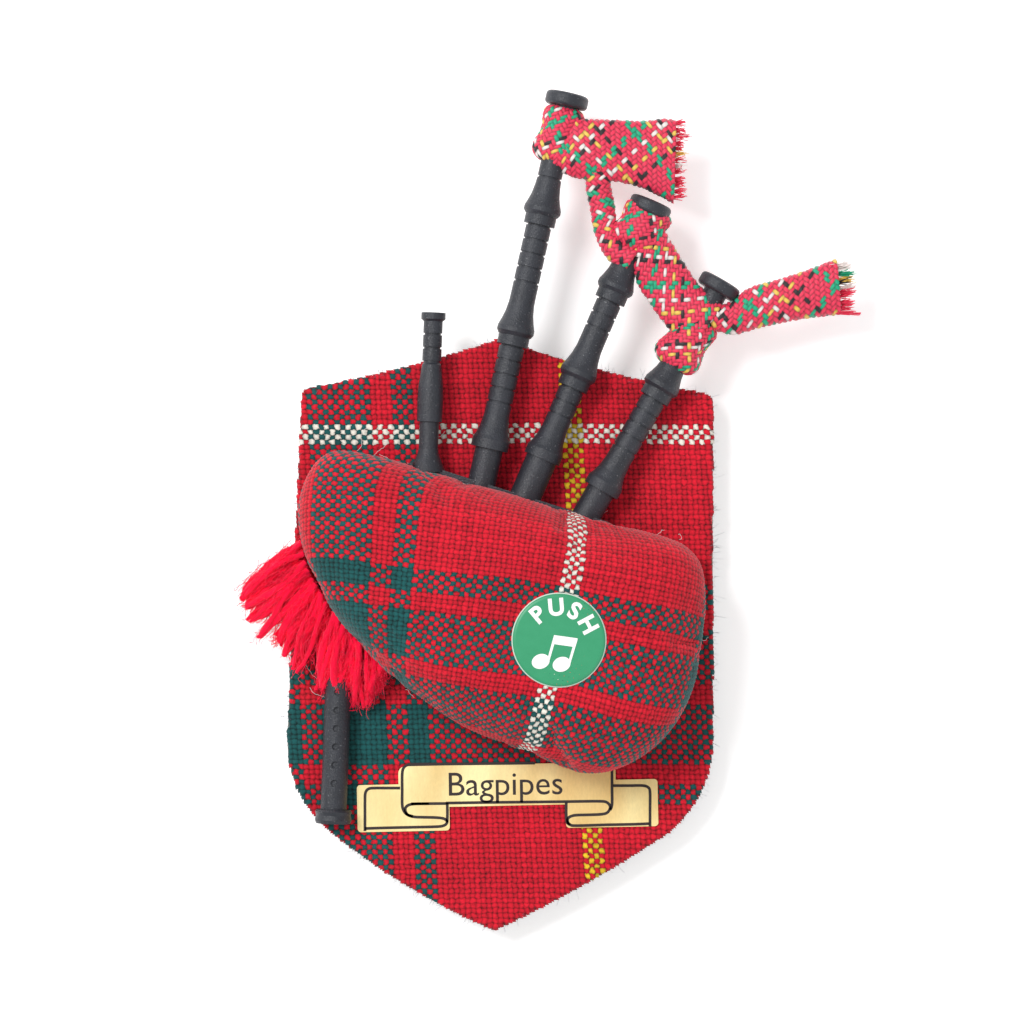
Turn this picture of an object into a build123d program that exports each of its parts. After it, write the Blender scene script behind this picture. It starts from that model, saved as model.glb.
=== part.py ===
"""Souvenir bagpipes: a tartan bag and five black pipes on a shield-shaped plaque, with a sound
module in the bag and a magnet on the back. It lies on its back, front up, in millimetres.

Origin: the centre of the magnet's face. +Z points out of the front, +Y up the shield.
"""

from build123d import *
from math import atan2, cos, degrees, hypot, radians, sin
import os

os.makedirs("parts", exist_ok=True)

# ---- Driving dimensions: the plaque and what lies flat on it ----
plaque_half_width = 29.8
plaque_left_lean = 2.1  # the upper left corner leans in, as the shield is cut by hand
plaque_corner_y = 31.6  # upper right corner
plaque_left_rise = 0.9  # the upper left corner is higher by this
plaque_peak_y = 39.5  # middle of the top edge
plaque_waist_y = -16.8  # where the straight sides end
plaque_shoulder = (23.2, -29.9)  # end of the rounded shoulder
plaque_tip = (-0.8, -43.3)
plaque_left_swell, plaque_right_swell = 0.9, 0.5  # how full the two edges down to the tip are
plaque_shoulder_swell = 1.7
plaque_top_hollow = 0.6
plaque_corner_radius = 1.2
magnet_width, magnet_height, magnet_thickness = 40.0, 22.0, 2.0
tape_thickness = 0.4
tape_margin = 1.0  # the tape stops this short of the magnet's edge
liner_thickness = 0.6
liner_margin = 0.8  # the liner stops this short of the board's edge
board_thickness = 2.4
cloth_thickness = 0.6

# ---- Driving dimensions: the bag ----
bag_corners = [
    (-27.5, 20.0),
    (-23.1, 25.0),
    (27.0, 10.8),
    (28.6, 4.0),
    (27.4, -9.5),
    (16.9, -20.8),
    (6.4, -21.0),
    (-8.1, -13.5),
    (-28.2, 9.5),
]
bag_corner_radius = 4.0
bag_centre = (1.0, 1.5)
bag_thickness = 15.0
# Shares of the thickness, of the outline's size, and of the way from bag_centre to the button.
bag_levels = [
    (0.00, 0.86, 0.0),
    (0.17, 0.96, 0.0),
    (0.40, 1.00, 0.0),
    (0.63, 0.965, 0.1),
    (0.84, 0.86, 0.3),
    (0.96, 0.70, 0.5),
    (1.00, 0.52, 0.7),
]
panel_inset = 0.4  # gap between the back panel and the cover round it

# ---- Driving dimensions: the pipes ----
pipe_z_above_cloth = 2.9
tube_radius = 1.78  # turned ribs of a drone
neck_radius = 1.7
groove_depth = 0.2
groove_width = 0.28
rib_pitch = 2.0
bell_radius = 2.62
bell_length = 5.15
middle_bell_length = 5.8
foot_bell_length = 4.75
foot_band = 1.3
ring_radius, ring_length = 2.18, 1.4
cap_radius, cap_length, cap_rounding = 3.0, 1.9, 0.55
spigot_radius, spigot_length = 1.4, 2.6
socket_clearance = 0.06
stock_length = 4.5
rail_width, rail_height = 2.6, 4.6
stock_sunk = 0.6 * rail_width  # how far a stock reaches below the rail's middle line
rail_start, rail_end = (-13.2, 21.4), (15.6, 12.4)
# Root of each drone on the rail, lean to the right in degrees, stock radius, neck length,
# and the ribs of each turned stretch from the root up.
drones = {
    "bass_drone": ((-2.47, 19.72), 12.55, 1.95, 10.3, (5, 5)),
    "middle_drone": ((4.03, 18.59), 23.3, 2.2, 6.7, (3, 3)),
    "outer_drone": ((11.81, 14.42), 30.07, 2.0, 10.6, (5,)),
}
blowpipe_root, blowpipe_lean = (-10.1, 20.9), 2.2
blowpipe_foot_radius, blowpipe_foot_length = 2.6, 3.2
blowpipe_shaft_radius, blowpipe_shaft_length = 1.35, 3.8
blowpipe_body_radius, blowpipe_body_length = 1.8, 8.2
blowpipe_bead_length = 1.65
blowpipe_cap_radius, blowpipe_cap_length = 1.7, 1.2
chanter_foot, chanter_lean = (-23.3, -28.16), 2.24
chanter_radius, chanter_length = 1.83, 36.0
chanter_foot_radius, chanter_foot_length = 2.58, 1.95
chanter_lift = 0.12  # gap between the chanter and the cloth
chanter_hole_radius, chanter_hole_depth = 0.5, 0.35
chanter_hole_count, chanter_hole_pitch, chanter_first_hole = 7, 2.54, 5.7
pipe_gap = 0.12  # between a pipe and the soft piece that it passes through

# ---- Driving dimensions: the scroll, the tassel and the lace ----
scroll_thickness = 0.15
scroll_centre, scroll_tilt = (1.0, -22.9), 1.2
scroll_panel = (30.4, 5.8)
scroll_wing = (12.9, 6.6)
scroll_wing_drop = 2.9  # centre of a wing below the panel's centre
scroll_wing_out = 14.6  # centre of a wing to the side
scroll_corner = 1.0
tassel_outline = [
    (-26.5, 10.5),
    (-31.5, 6.2),
    (-36.2, 4.2),
    (-36.0, 0.8),
    (-31.2, -3.4),
    (-29.6, -6.2),
    (-25.6, -8.6),
    (-21.6, -12.2),
    (-17.4, -11.6),
    (-15.2, -6.2),
    (-13.0, -4.0),
    (-20.0, 3.0),
]
tassel_lift, tassel_thickness = 0.1, 4.9
tassel_gap = 0.15
lace_thickness = 0.7
lace_gap = 0.1
lace_turns = {"bass_drone": 8.2, "middle_drone": 6.4, "outer_drone": 8.2}  # width of each turn
lace_bass_end = [(9.9, 69.2), (24.3, 69.4), (24.6, 58.6), (16.6, 60.2), (9.2, 61.4)]
lace_fold, lace_fold_width = [(13.6, 61.0), (14.6, 55.0), (17.6, 50.6)], 3.0
lace_span, lace_span_width = [(20.6, 55.6), (23.3, 47.2), (27.4, 40.6)], 7.0
lace_outer_end = [(29.4, 44.6), (39.5, 48.7), (47.6, 50.1), (48.4, 44.3), (46.0, 41.8), (31.0, 39.9)]

# ---- Driving dimensions: the sound module ----
button_axis = (8.1, -2.2)
button_travel = 0.8
label_radius, label_thickness = 6.5, 0.15
patch_radius = 6.6
patch_gap = 0.2
case_radius, case_wall = 13.5, 1.2
case_gap = 0.2  # between the case and the filling
case_lift = 0.1  # between the back panel and the case
lid_thickness = 1.2
sounder_radius, sounder_plate, sounder_ceramic = 8.9, 0.3, 0.2
ceramic_radius = 6.8
sounder_seat, sounder_seat_width = 0.4, 0.9  # height and width of the ring under the sounder
board_space = 0.8  # air between the sounder and the circuit board
board_ledge = 1.0  # width of the ledge that the circuit board lies on
circuit_thickness, circuit_gap = 0.8, 0.2
cell_radius, cell_height, cell_count = 3.95, 3.6, 3
cell_ring = 8.2
contact_thickness, contact_width = 0.2, 3.2
boss_ring, boss_radius, boss_gap = 11.0, 1.7, 0.3
boss_count = 3
screw_radius, screw_clearance = 0.6, 0.02
screw_length, screw_head_radius, screw_head_height = 3.6, 1.2, 0.6
stem_radius, stem_clearance = 2.7, 0.05
head_radius, stem_socket = 5.0, 2.4
flange_radius, flange_thickness, flange_gap = 3.8, 0.8, 0.1
dome_radius, dome_height, dome_gap = 2.4, 0.35, 0.05
cap_joint_clearance = 0.03  # between the stem and the button's head
spring_wire, spring_turns, spring_radius = 0.4, 3.5, 3.2
sound_hole_radius, sound_hole_ring, sound_hole_count = 0.7, 5.0, 6
lead_radius, lead_hole_radius = 0.25, 0.4
lead_rings = (5.6, 7.9)  # distance of each sounder lead from the module's middle
chip_radius, chip_height, chip_ring = 1.4, 0.9, 6.6

# ---- Heights that follow, from the surface it lies on ----
tape_z = magnet_thickness
liner_z = tape_z + tape_thickness
board_z = liner_z + liner_thickness
cloth_z = board_z + board_thickness
front_z = cloth_z + cloth_thickness
pipe_z = front_z + pipe_z_above_cloth
bag_top = front_z + bag_thickness
panel_top = front_z + cloth_thickness
case_z = panel_top + case_lift
case_floor_z = case_z + case_wall
sounder_z = case_floor_z + sounder_seat
ceramic_z = sounder_z + sounder_plate
circuit_z = ceramic_z + sounder_ceramic + board_space
circuit_top = circuit_z + circuit_thickness
cell_z = circuit_top + contact_thickness
cell_top = cell_z + cell_height
lid_z = cell_top + contact_thickness
lid_top = lid_z + lid_thickness
patch_z = bag_top - cloth_thickness
head_z = lid_top + button_travel + flange_gap
flange_top = lid_z - flange_gap
flange_z = flange_top - flange_thickness
stem_z = circuit_top + dome_height + button_travel + dome_gap
case_inner_radius = case_radius - case_wall


def save(piece, name):
    piece.part.label = name
    export_step(piece.part, f"parts/{name}.step")


# ---- Plaque ----
def plaque_face(margin=0.0):
    """The shield, drawn about its own middle line, taken in by margin."""
    peak = (0, plaque_peak_y)
    right_corner = (plaque_half_width, plaque_corner_y)
    left_corner = (-plaque_half_width + plaque_left_lean, plaque_corner_y + plaque_left_rise)
    right_waist, left_waist = (plaque_half_width, plaque_waist_y), (-plaque_half_width, plaque_waist_y)
    right_shoulder, left_shoulder = plaque_shoulder, (-plaque_shoulder[0], plaque_shoulder[1])

    def bowed(start, end, bow):
        """An arc from start to end that swells out to its left by bow."""
        along = Vector(end) - Vector(start)
        middle = Vector(start) + along / 2
        side = along.rotate(Axis.Z, 90).normalized() * bow
        return ThreePointArc(start, middle + side, end)

    with BuildSketch() as shield:
        with BuildLine():
            bowed(peak, right_corner, -plaque_top_hollow)
            Line(right_corner, right_waist)
            bowed(right_waist, right_shoulder, plaque_shoulder_swell)
            bowed(right_shoulder, plaque_tip, plaque_right_swell)
            bowed(plaque_tip, left_shoulder, plaque_left_swell)
            bowed(left_shoulder, left_waist, plaque_shoulder_swell)
            Line(left_waist, left_corner)
            bowed(left_corner, peak, -plaque_top_hollow)
        make_face()
        top_corners = shield.vertices().group_by(Axis.Y)[-3] + shield.vertices().group_by(Axis.Y)[-2]
        fillet(top_corners, plaque_corner_radius)
        if margin:
            offset(amount=-margin)
    return shield.sketch


with BuildPart() as magnet:
    with BuildSketch():
        RectangleRounded(magnet_width, magnet_height, plaque_corner_radius)
    extrude(amount=magnet_thickness)
save(magnet, "magnet")

with BuildPart() as magnet_tape:
    with BuildSketch(Plane.XY.offset(tape_z)):
        Rectangle(magnet_width - 2 * tape_margin, magnet_height - 2 * tape_margin)
    extrude(amount=tape_thickness)
save(magnet_tape, "magnet_tape")

with BuildPart() as back_liner:
    with BuildSketch(Plane.XY.offset(liner_z)):
        add(plaque_face(liner_margin))
    extrude(amount=liner_thickness)
save(back_liner, "back_liner")

with BuildPart() as backing_board:
    with BuildSketch(Plane.XY.offset(board_z)):
        add(plaque_face())
    extrude(amount=board_thickness)
save(backing_board, "backing_board")

with BuildPart() as front_cloth:
    with BuildSketch(Plane.XY.offset(cloth_z)):
        add(plaque_face())
    extrude(amount=cloth_thickness)
save(front_cloth, "front_cloth")


# ---- Pipes ----
def pipe_plane(root, lean):
    """Plane through a pipe's middle: x is across the pipe, y is along it from its root."""
    angle = radians(lean)
    return Plane(
        origin=(root[0], root[1], pipe_z),
        x_dir=(cos(angle), -sin(angle), 0),
        z_dir=(0, 0, 1),
    )


def pipe_axis(plane):
    return Axis(plane.origin, plane.y_dir)


def across(plane, station):
    """Plane square to the pipe at a distance from its root, facing its tip."""
    return Plane(origin=plane.from_local_coords((0, station, 0)), z_dir=plane.y_dir)


def ribs(start, count, radius):
    """Outline points of a row of turned ribs with a groove above each, from start upwards."""
    points = []
    for rib in range(count):
        low = start + rib * rib_pitch
        high = low + rib_pitch - groove_width
        if rib:
            points.append((radius, low))
        points += [
            (radius, high),
            (radius - groove_depth, high),
            (radius - groove_depth, high + groove_width),
        ]
    return points


def flare(start, length, top_radius):
    """Outline points of a bell: a rounded lip below and a long hollow flare above."""
    shares = [(0.88, 0.0), (1.0, 0.09), (0.99, 0.2), (0.87, 0.36), (0.76, 0.55), (0.69, 0.78)]
    return [(bell_radius * r, start + length * s) for r, s in shares] + [
        (top_radius, start + length)
    ]


def drone_outline(stock_radius, neck_length, rib_counts):
    """Points (radius, distance from the root) up one side of a drone, and its whole length."""
    station = stock_length
    points = [(bell_radius, station), (bell_radius, station + foot_band)]
    rise = foot_bell_length - foot_band
    points += [
        (bell_radius * 0.9, station + foot_band + 0.15 * rise),
        (bell_radius * 0.76, station + foot_band + 0.5 * rise),
        (tube_radius, station + foot_bell_length),
    ]
    station += foot_bell_length
    for level, count in enumerate(rib_counts):
        points += ribs(station, count, tube_radius)
        station += count * rib_pitch
        points += [(ring_radius, station), (ring_radius, station + ring_length)]
        station += ring_length
        last = level == len(rib_counts) - 1
        length = bell_length if last else middle_bell_length
        points += flare(station, length, neck_radius if last else tube_radius)
        station += length
    points += [
        (neck_radius - groove_depth, station),
        (neck_radius - groove_depth, station + groove_width),
        (neck_radius, station + groove_width),
        (neck_radius, station + neck_length),
    ]
    return points, station + neck_length


drone_tops = {}
for name, (root, lean, stock_radius, neck_length, rib_counts) in drones.items():
    plane = pipe_plane(root, lean)
    outline, cap_station = drone_outline(stock_radius, neck_length, rib_counts)
    drone_tops[name] = cap_station
    with BuildPart() as drone:
        with BuildSketch(plane):
            with BuildLine():
                Polyline(
                    (0, stock_length),
                    *outline,
                    (cap_radius, cap_station),
                    (cap_radius, cap_station + cap_length),
                    (0, cap_station + cap_length),
                    close=True,
                )
            make_face()
        revolve(axis=pipe_axis(plane))
        rim = drone.edges().filter_by(GeomType.CIRCLE).filter_by(
            lambda edge: abs(edge.radius - cap_radius) < 1e-6
        )
        fillet(rim, cap_rounding)
        with BuildSketch(across(plane, stock_length)):
            Circle(spigot_radius + socket_clearance)
        extrude(amount=spigot_length + socket_clearance, mode=Mode.SUBTRACT)
    save(drone, name)
    if name == "bass_drone":
        bass_drone = drone
    elif name == "middle_drone":
        middle_drone = drone
    else:
        outer_drone = drone

blowpipe_plane = pipe_plane(blowpipe_root, blowpipe_lean)
with BuildPart() as blowpipe:
    shaft_end = blowpipe_foot_length + blowpipe_shaft_length
    body_end = shaft_end + blowpipe_body_length
    bead_radius = blowpipe_shaft_radius - 0.02
    bead_outline = []
    bead_start = body_end
    for bead in range(3):
        bead_outline += [
            (bead_radius - groove_depth, bead_start),
            (bead_radius - groove_depth, bead_start + groove_width),
            (bead_radius, bead_start + groove_width),
            (bead_radius, bead_start + groove_width + blowpipe_bead_length),
        ]
        bead_start += groove_width + blowpipe_bead_length
    with BuildSketch(blowpipe_plane):
        with BuildLine():
            Polyline(
                (0, 0),
                (blowpipe_foot_radius, 0),
                (blowpipe_foot_radius * 0.8, blowpipe_foot_length * 0.35),
                (blowpipe_shaft_radius * 1.12, blowpipe_foot_length * 0.75),
                (blowpipe_shaft_radius, blowpipe_foot_length),
                (blowpipe_shaft_radius, shaft_end),
                (blowpipe_body_radius * 0.97, shaft_end),
                (blowpipe_body_radius, shaft_end + blowpipe_body_length * 0.3),
                (blowpipe_body_radius * 0.96, shaft_end + blowpipe_body_length * 0.6),
                (bead_radius, body_end - groove_width),
                *bead_outline,
                (blowpipe_cap_radius, bead_start + 0.3),
                (blowpipe_cap_radius, bead_start + blowpipe_cap_length),
                (0, bead_start + blowpipe_cap_length),
                close=True,
            )
        make_face()
    revolve(axis=pipe_axis(blowpipe_plane))
save(blowpipe, "blowpipe")

chanter_z = front_z + chanter_radius + chanter_lift
chanter_angle = radians(chanter_lean)
chanter_plane = Plane(
    origin=(chanter_foot[0], chanter_foot[1], chanter_z),
    x_dir=(cos(chanter_angle), -sin(chanter_angle), 0),
    z_dir=(0, 0, 1),
)
with BuildPart() as chanter:
    with BuildSketch(chanter_plane):
        with BuildLine():
            Polyline(
                (0, 0),
                (chanter_foot_radius * 0.93, 0),
                (chanter_foot_radius, chanter_foot_length * 0.25),
                (chanter_foot_radius * 0.94, chanter_foot_length * 0.6),
                (chanter_foot_radius, chanter_foot_length * 0.85),
                (chanter_foot_radius * 0.92, chanter_foot_length),
                (chanter_radius, chanter_foot_length),
                (chanter_radius, chanter_length),
                (0, chanter_length),
                close=True,
            )
        make_face()
    revolve(axis=pipe_axis(chanter_plane))
    hole_plane = Plane(
        origin=chanter_plane.from_local_coords((0, 0, chanter_radius)),
        x_dir=chanter_plane.x_dir,
        z_dir=(0, 0, 1),
    )
    with Locations(hole_plane):
        first_hole = chanter_first_hole
        with Locations(
            *[(0, first_hole + n * chanter_hole_pitch) for n in range(chanter_hole_count)]
        ):
            Hole(chanter_hole_radius, depth=chanter_hole_depth)
    # The foot's underside is flat, where it lies on the cloth.
    with BuildSketch(Plane.XY.offset(front_z - 5 * cloth_thickness)):
        with Locations((chanter_foot[0], chanter_foot[1])):
            Rectangle(4 * chanter_foot_radius, 4 * chanter_foot_radius)
    extrude(amount=5 * cloth_thickness, mode=Mode.SUBTRACT)
save(chanter, "chanter")

rail_lean = degrees(atan2(rail_end[1] - rail_start[1], rail_end[0] - rail_start[0]))
rail_length = hypot(rail_end[0] - rail_start[0], rail_end[1] - rail_start[1])
rail_middle = ((rail_start[0] + rail_end[0]) / 2, (rail_start[1] + rail_end[1]) / 2)


def rail_face(margin=0.0):
    with BuildSketch() as face:
        with Locations(Location((rail_middle[0], rail_middle[1], 0), (0, 0, rail_lean))):
            SlotOverall(rail_length + 2 * margin, rail_width + 2 * margin)
    return face.sketch


with BuildPart() as stock_rail:
    with BuildSketch(Plane.XY.offset(front_z)):
        add(rail_face())
    extrude(amount=rail_height)
    for root, lean, stock_radius, _, _ in drones.values():
        plane = pipe_plane(root, lean)
        with BuildSketch(across(plane, -stock_sunk)):
            Circle(stock_radius)
        extrude(amount=stock_sunk + stock_length)
        with BuildSketch(across(plane, stock_length)):
            Circle(spigot_radius)
        extrude(amount=spigot_length)
    # The blowpipe stands on the rail, so the rail is cut to its foot.
    with BuildSketch(across(blowpipe_plane, 0)):
        Circle(blowpipe_foot_radius + socket_clearance)
    extrude(amount=blowpipe_foot_length, mode=Mode.SUBTRACT)
save(stock_rail, "stock_rail")


# ---- Bag ----
def bag_outline(size, drift, height):
    """The bag's outline at one height, scaled about its centre and moved towards the button."""
    middle = [
        bag_centre[axis] + drift * (button_axis[axis] - bag_centre[axis]) for axis in (0, 1)
    ]
    corners = [
        (
            middle[0] + size * (x - bag_centre[0]),
            middle[1] + size * (y - bag_centre[1]),
        )
        for x, y in bag_corners
    ]
    with BuildSketch(Plane.XY.offset(height)) as outline:
        with BuildLine():
            Polyline(*corners, close=True)
        make_face()
        fillet(outline.vertices(), bag_corner_radius * size)
    return outline.sketch


inset_share = 1.25  # the inset's share at the sides, which lean, against the half width
bag_half_height = 20.0


def bag_form(inset, floor):
    """The stuffed shape of the bag, taken in by inset all round and cut off flat at floor."""
    half = (bag_corners[2][0] - bag_corners[0][0]) / 2
    with BuildPart() as form:
        for rise, size, drift in bag_levels:
            height = front_z + rise * (bag_thickness - inset)
            add(bag_outline(size - inset_share * inset / half, drift, height))
        loft()
        if floor > front_z:
            split(bisect_by=Plane.XY.offset(floor), keep=Keep.TOP)
    return form.part


def pipe_room(gap):
    """The space that the rail, the stocks, the blowpipe and the chanter take in the bag."""
    with BuildPart() as room:
        with BuildSketch(Plane.XY.offset(front_z - 1)):
            add(rail_face(gap))
        extrude(amount=rail_height + gap + 1)
        for root, lean, stock_radius, _, _ in drones.values():
            plane = pipe_plane(root, lean)
            with BuildSketch(across(plane, -stock_sunk - gap)):
                Circle(stock_radius + gap)
            extrude(amount=stock_sunk + gap + stock_length - gap)
            with BuildSketch(across(plane, stock_length - gap)):
                Circle(bell_radius + gap)
            extrude(amount=foot_bell_length)
        with BuildSketch(across(blowpipe_plane, -gap)):
            Circle(blowpipe_foot_radius + gap)
        extrude(amount=blowpipe_foot_length + blowpipe_shaft_length)
        with BuildSketch(across(chanter_plane, chanter_foot_length + gap)):
            Circle(chanter_radius + gap)
        extrude(amount=chanter_length - chanter_foot_length)
        # Down to the cloth below the chanter, so that no thin floor is left.
        with BuildSketch(chanter_plane.offset(-chanter_radius - chanter_lift)):
            with Locations((0, (chanter_length + gap) / 2 + chanter_foot_length)):
                Rectangle(
                    2 * (chanter_radius + gap), chanter_length + gap - 2 * chanter_foot_length
                )
        extrude(amount=chanter_radius + chanter_lift)
    return room.part


with BuildPart() as bag_cover:
    add(bag_form(0.0, front_z))
    add(bag_form(cloth_thickness, front_z), mode=Mode.SUBTRACT)
    with BuildSketch(Plane.XY.offset(bag_top - 3 * cloth_thickness)):
        with Locations(button_axis):
            Circle(patch_radius + patch_gap)
    extrude(amount=4 * cloth_thickness, mode=Mode.SUBTRACT)
    add(pipe_room(pipe_gap), mode=Mode.SUBTRACT)
save(bag_cover, "bag_cover")

with BuildPart() as bag_back_panel:
    base_size = bag_levels[0][1] - (cloth_thickness + panel_inset) / bag_half_height
    add(bag_outline(base_size, 0.0, front_z))
    extrude(amount=cloth_thickness)
    add(pipe_room(pipe_gap), mode=Mode.SUBTRACT)
save(bag_back_panel, "bag_back_panel")

with BuildPart() as bag_filling:
    add(bag_form(cloth_thickness + 0.05, panel_top))
    with BuildSketch(Plane.XY.offset(panel_top - 1)):
        with Locations(button_axis):
            Circle(case_radius + case_gap)
    extrude(amount=lid_top + case_gap - panel_top + 1, mode=Mode.SUBTRACT)
    with BuildSketch(Plane.XY.offset(lid_top)):
        with Locations(button_axis):
            Circle(patch_radius + patch_gap)
    extrude(amount=bag_thickness, mode=Mode.SUBTRACT)
    add(pipe_room(pipe_gap), mode=Mode.SUBTRACT)
save(bag_filling, "bag_filling")


# ---- Scroll, tassel and lace ----
with BuildPart() as name_scroll:
    with BuildSketch(Plane.XY.offset(front_z)):
        with Locations(Location((scroll_centre[0], scroll_centre[1], 0), (0, 0, scroll_tilt))):
            RectangleRounded(*scroll_panel, scroll_corner)
            with Locations(
                (-scroll_wing_out, -scroll_wing_drop), (scroll_wing_out, -scroll_wing_drop)
            ):
                RectangleRounded(*scroll_wing, scroll_corner / 2)
    extrude(amount=scroll_thickness)
    add(chanter.part, mode=Mode.SUBTRACT)
save(name_scroll, "name_scroll")

with BuildPart() as yarn_tassel:
    with BuildSketch(Plane.XY.offset(front_z + tassel_lift)):
        with BuildLine():
            Polyline(*tassel_outline, close=True)
        make_face()
    extrude(amount=tassel_thickness)
    add(bag_form(-tassel_gap, front_z - cloth_thickness), mode=Mode.SUBTRACT)
    with BuildSketch(Plane(chanter_plane.origin, x_dir=chanter_plane.x_dir, z_dir=chanter_plane.y_dir)):
        Circle(chanter_radius + tassel_gap)
    extrude(amount=chanter_length + 1, mode=Mode.SUBTRACT)
    with BuildSketch(chanter_plane.offset(-chanter_radius - chanter_lift)):
        with Locations((0, chanter_length / 2)):
            Rectangle(2 * (chanter_radius + tassel_gap), chanter_length + 2)
    extrude(amount=chanter_radius + chanter_lift, mode=Mode.SUBTRACT)
save(yarn_tassel, "yarn_tassel")


def strap_face(route, width):
    """A band of one width along a short route of points."""
    with BuildSketch(Plane.XY.offset(pipe_z - lace_thickness / 2)) as band:
        with BuildLine() as line:
            Polyline(*route)
        trace(line_width=width)
    return band.sketch


with BuildPart() as drone_lace:
    for name, turn_width in lace_turns.items():
        root, lean = drones[name][:2]
        plane = pipe_plane(root, lean)
        neck_middle = drone_tops[name] - drones[name][3] / 2
        with BuildSketch(across(plane, neck_middle - turn_width / 2)):
            Circle(neck_radius + lace_gap + lace_thickness)
        extrude(amount=turn_width)
    for route, width in ((lace_fold, lace_fold_width), (lace_span, lace_span_width)):
        add(strap_face(route, width))
        extrude(amount=lace_thickness)
    for corners in (lace_bass_end, lace_outer_end):
        with BuildSketch(Plane.XY.offset(pipe_z - lace_thickness / 2)):
            with BuildLine():
                Polyline(*corners, close=True)
            make_face()
        extrude(amount=lace_thickness)
    # Room for each neck, for the cap above it and for the bell below it.
    for name in lace_turns:
        root, lean, _, neck_length, _ = drones[name]
        plane = pipe_plane(root, lean)
        cap_station = drone_tops[name]
        for radius, low, high in (
            (neck_radius, cap_station - neck_length - 1, cap_station),
            (cap_radius, cap_station, cap_station + cap_length),
            (
                bell_radius,
                cap_station - neck_length - bell_length - ring_length,
                cap_station - neck_length,
            ),
        ):
            with BuildSketch(across(plane, low - lace_gap)):
                Circle(radius + lace_gap)
            extrude(amount=high - low + 2 * lace_gap, mode=Mode.SUBTRACT)
save(drone_lace, "drone_lace")


# ---- Sound module ----
def module_plane(height):
    return Plane.XY.offset(height).move(Location((button_axis[0], button_axis[1], 0)))


with BuildPart() as module_case:
    with BuildSketch(module_plane(case_z)):
        Circle(case_radius)
    extrude(amount=lid_z - case_z)
    with BuildSketch(module_plane(circuit_z)):
        Circle(case_inner_radius)
    extrude(amount=lid_z - circuit_z, mode=Mode.SUBTRACT)
    with BuildSketch(module_plane(case_floor_z)):
        Circle(case_inner_radius - board_ledge)
    extrude(amount=circuit_z - case_floor_z, mode=Mode.SUBTRACT)
    with BuildSketch(module_plane(case_floor_z)):
        Circle(sounder_radius)
        Circle(sounder_radius - sounder_seat_width, mode=Mode.SUBTRACT)
    extrude(amount=sounder_seat)
    with BuildSketch(module_plane(case_floor_z)):
        with PolarLocations(boss_ring, boss_count, start_angle=30):
            Circle(boss_radius)
    extrude(amount=lid_z - case_floor_z)
    with BuildSketch(module_plane(lid_z - screw_length)):
        with PolarLocations(boss_ring, boss_count, start_angle=30):
            Circle(screw_radius + screw_clearance)
    extrude(amount=screw_length, mode=Mode.SUBTRACT)
    with BuildSketch(module_plane(case_z)):
        with PolarLocations(sound_hole_ring, sound_hole_count):
            Circle(sound_hole_radius)
    extrude(amount=case_wall, mode=Mode.SUBTRACT)
save(module_case, "module_case")

with BuildPart() as sounder:
    with BuildSketch(module_plane(sounder_z)):
        Circle(sounder_radius)
    extrude(amount=sounder_plate)
    with BuildSketch(module_plane(ceramic_z)):
        Circle(ceramic_radius)
    extrude(amount=sounder_ceramic)
save(sounder, "sounder")

with BuildPart() as circuit_board:
    with BuildSketch(module_plane(circuit_z)):
        Circle(case_inner_radius - circuit_gap)
        with PolarLocations(boss_ring, boss_count, start_angle=30):
            Circle(boss_radius + boss_gap, mode=Mode.SUBTRACT)
        with Locations(*[Vector(ring, 0).rotate(Axis.Z, 30) for ring in lead_rings]):
            Circle(lead_hole_radius, mode=Mode.SUBTRACT)
    extrude(amount=circuit_thickness)
save(circuit_board, "circuit_board")

with BuildPart() as sounder_leads:
    for ring, foot in zip(lead_rings, (ceramic_z + sounder_ceramic, ceramic_z)):
        with BuildSketch(module_plane(foot)):
            with Locations(Vector(ring, 0).rotate(Axis.Z, 30)):
                Circle(lead_radius)
        extrude(amount=circuit_top + contact_thickness - foot)
save(sounder_leads, "sounder_leads")

with BuildPart() as chip_blob:
    with BuildSketch(module_plane(circuit_top)):
        with Locations(Vector(chip_ring, 0).rotate(Axis.Z, 150)):
            Circle(chip_radius)
    extrude(amount=chip_height)
    fillet(chip_blob.faces().sort_by(Axis.Z)[-1].edges(), chip_height * 0.6)
save(chip_blob, "chip_blob")

with BuildPart() as button_cells:
    with BuildSketch(module_plane(cell_z)):
        with PolarLocations(cell_ring, cell_count, start_angle=90):
            Circle(cell_radius)
    extrude(amount=cell_height)
save(button_cells, "button_cells")

with BuildPart() as cell_contacts:
    for height in (circuit_top, cell_top):
        with BuildSketch(module_plane(height)):
            with PolarLocations(cell_ring, cell_count, start_angle=90):
                RectangleRounded(contact_width, 2 * contact_width, contact_width / 4)
        extrude(amount=contact_thickness)
save(cell_contacts, "cell_contacts")

with BuildPart() as contact_dome:
    with BuildSketch(module_plane(circuit_top)):
        Circle(dome_radius)
    extrude(amount=dome_height)
    fillet(contact_dome.faces().sort_by(Axis.Z)[-1].edges(), dome_height * 0.7)
save(contact_dome, "contact_dome")

with BuildPart() as module_lid:
    with BuildSketch(module_plane(lid_z)):
        Circle(case_radius)
        Circle(stem_radius + stem_clearance, mode=Mode.SUBTRACT)
    extrude(amount=lid_thickness)
    with Locations(module_plane(lid_top)):
        with PolarLocations(boss_ring, boss_count, start_angle=30):
            CounterBoreHole(
                screw_radius + screw_clearance,
                screw_head_radius + screw_clearance,
                screw_head_height,
            )
save(module_lid, "module_lid")

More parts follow.
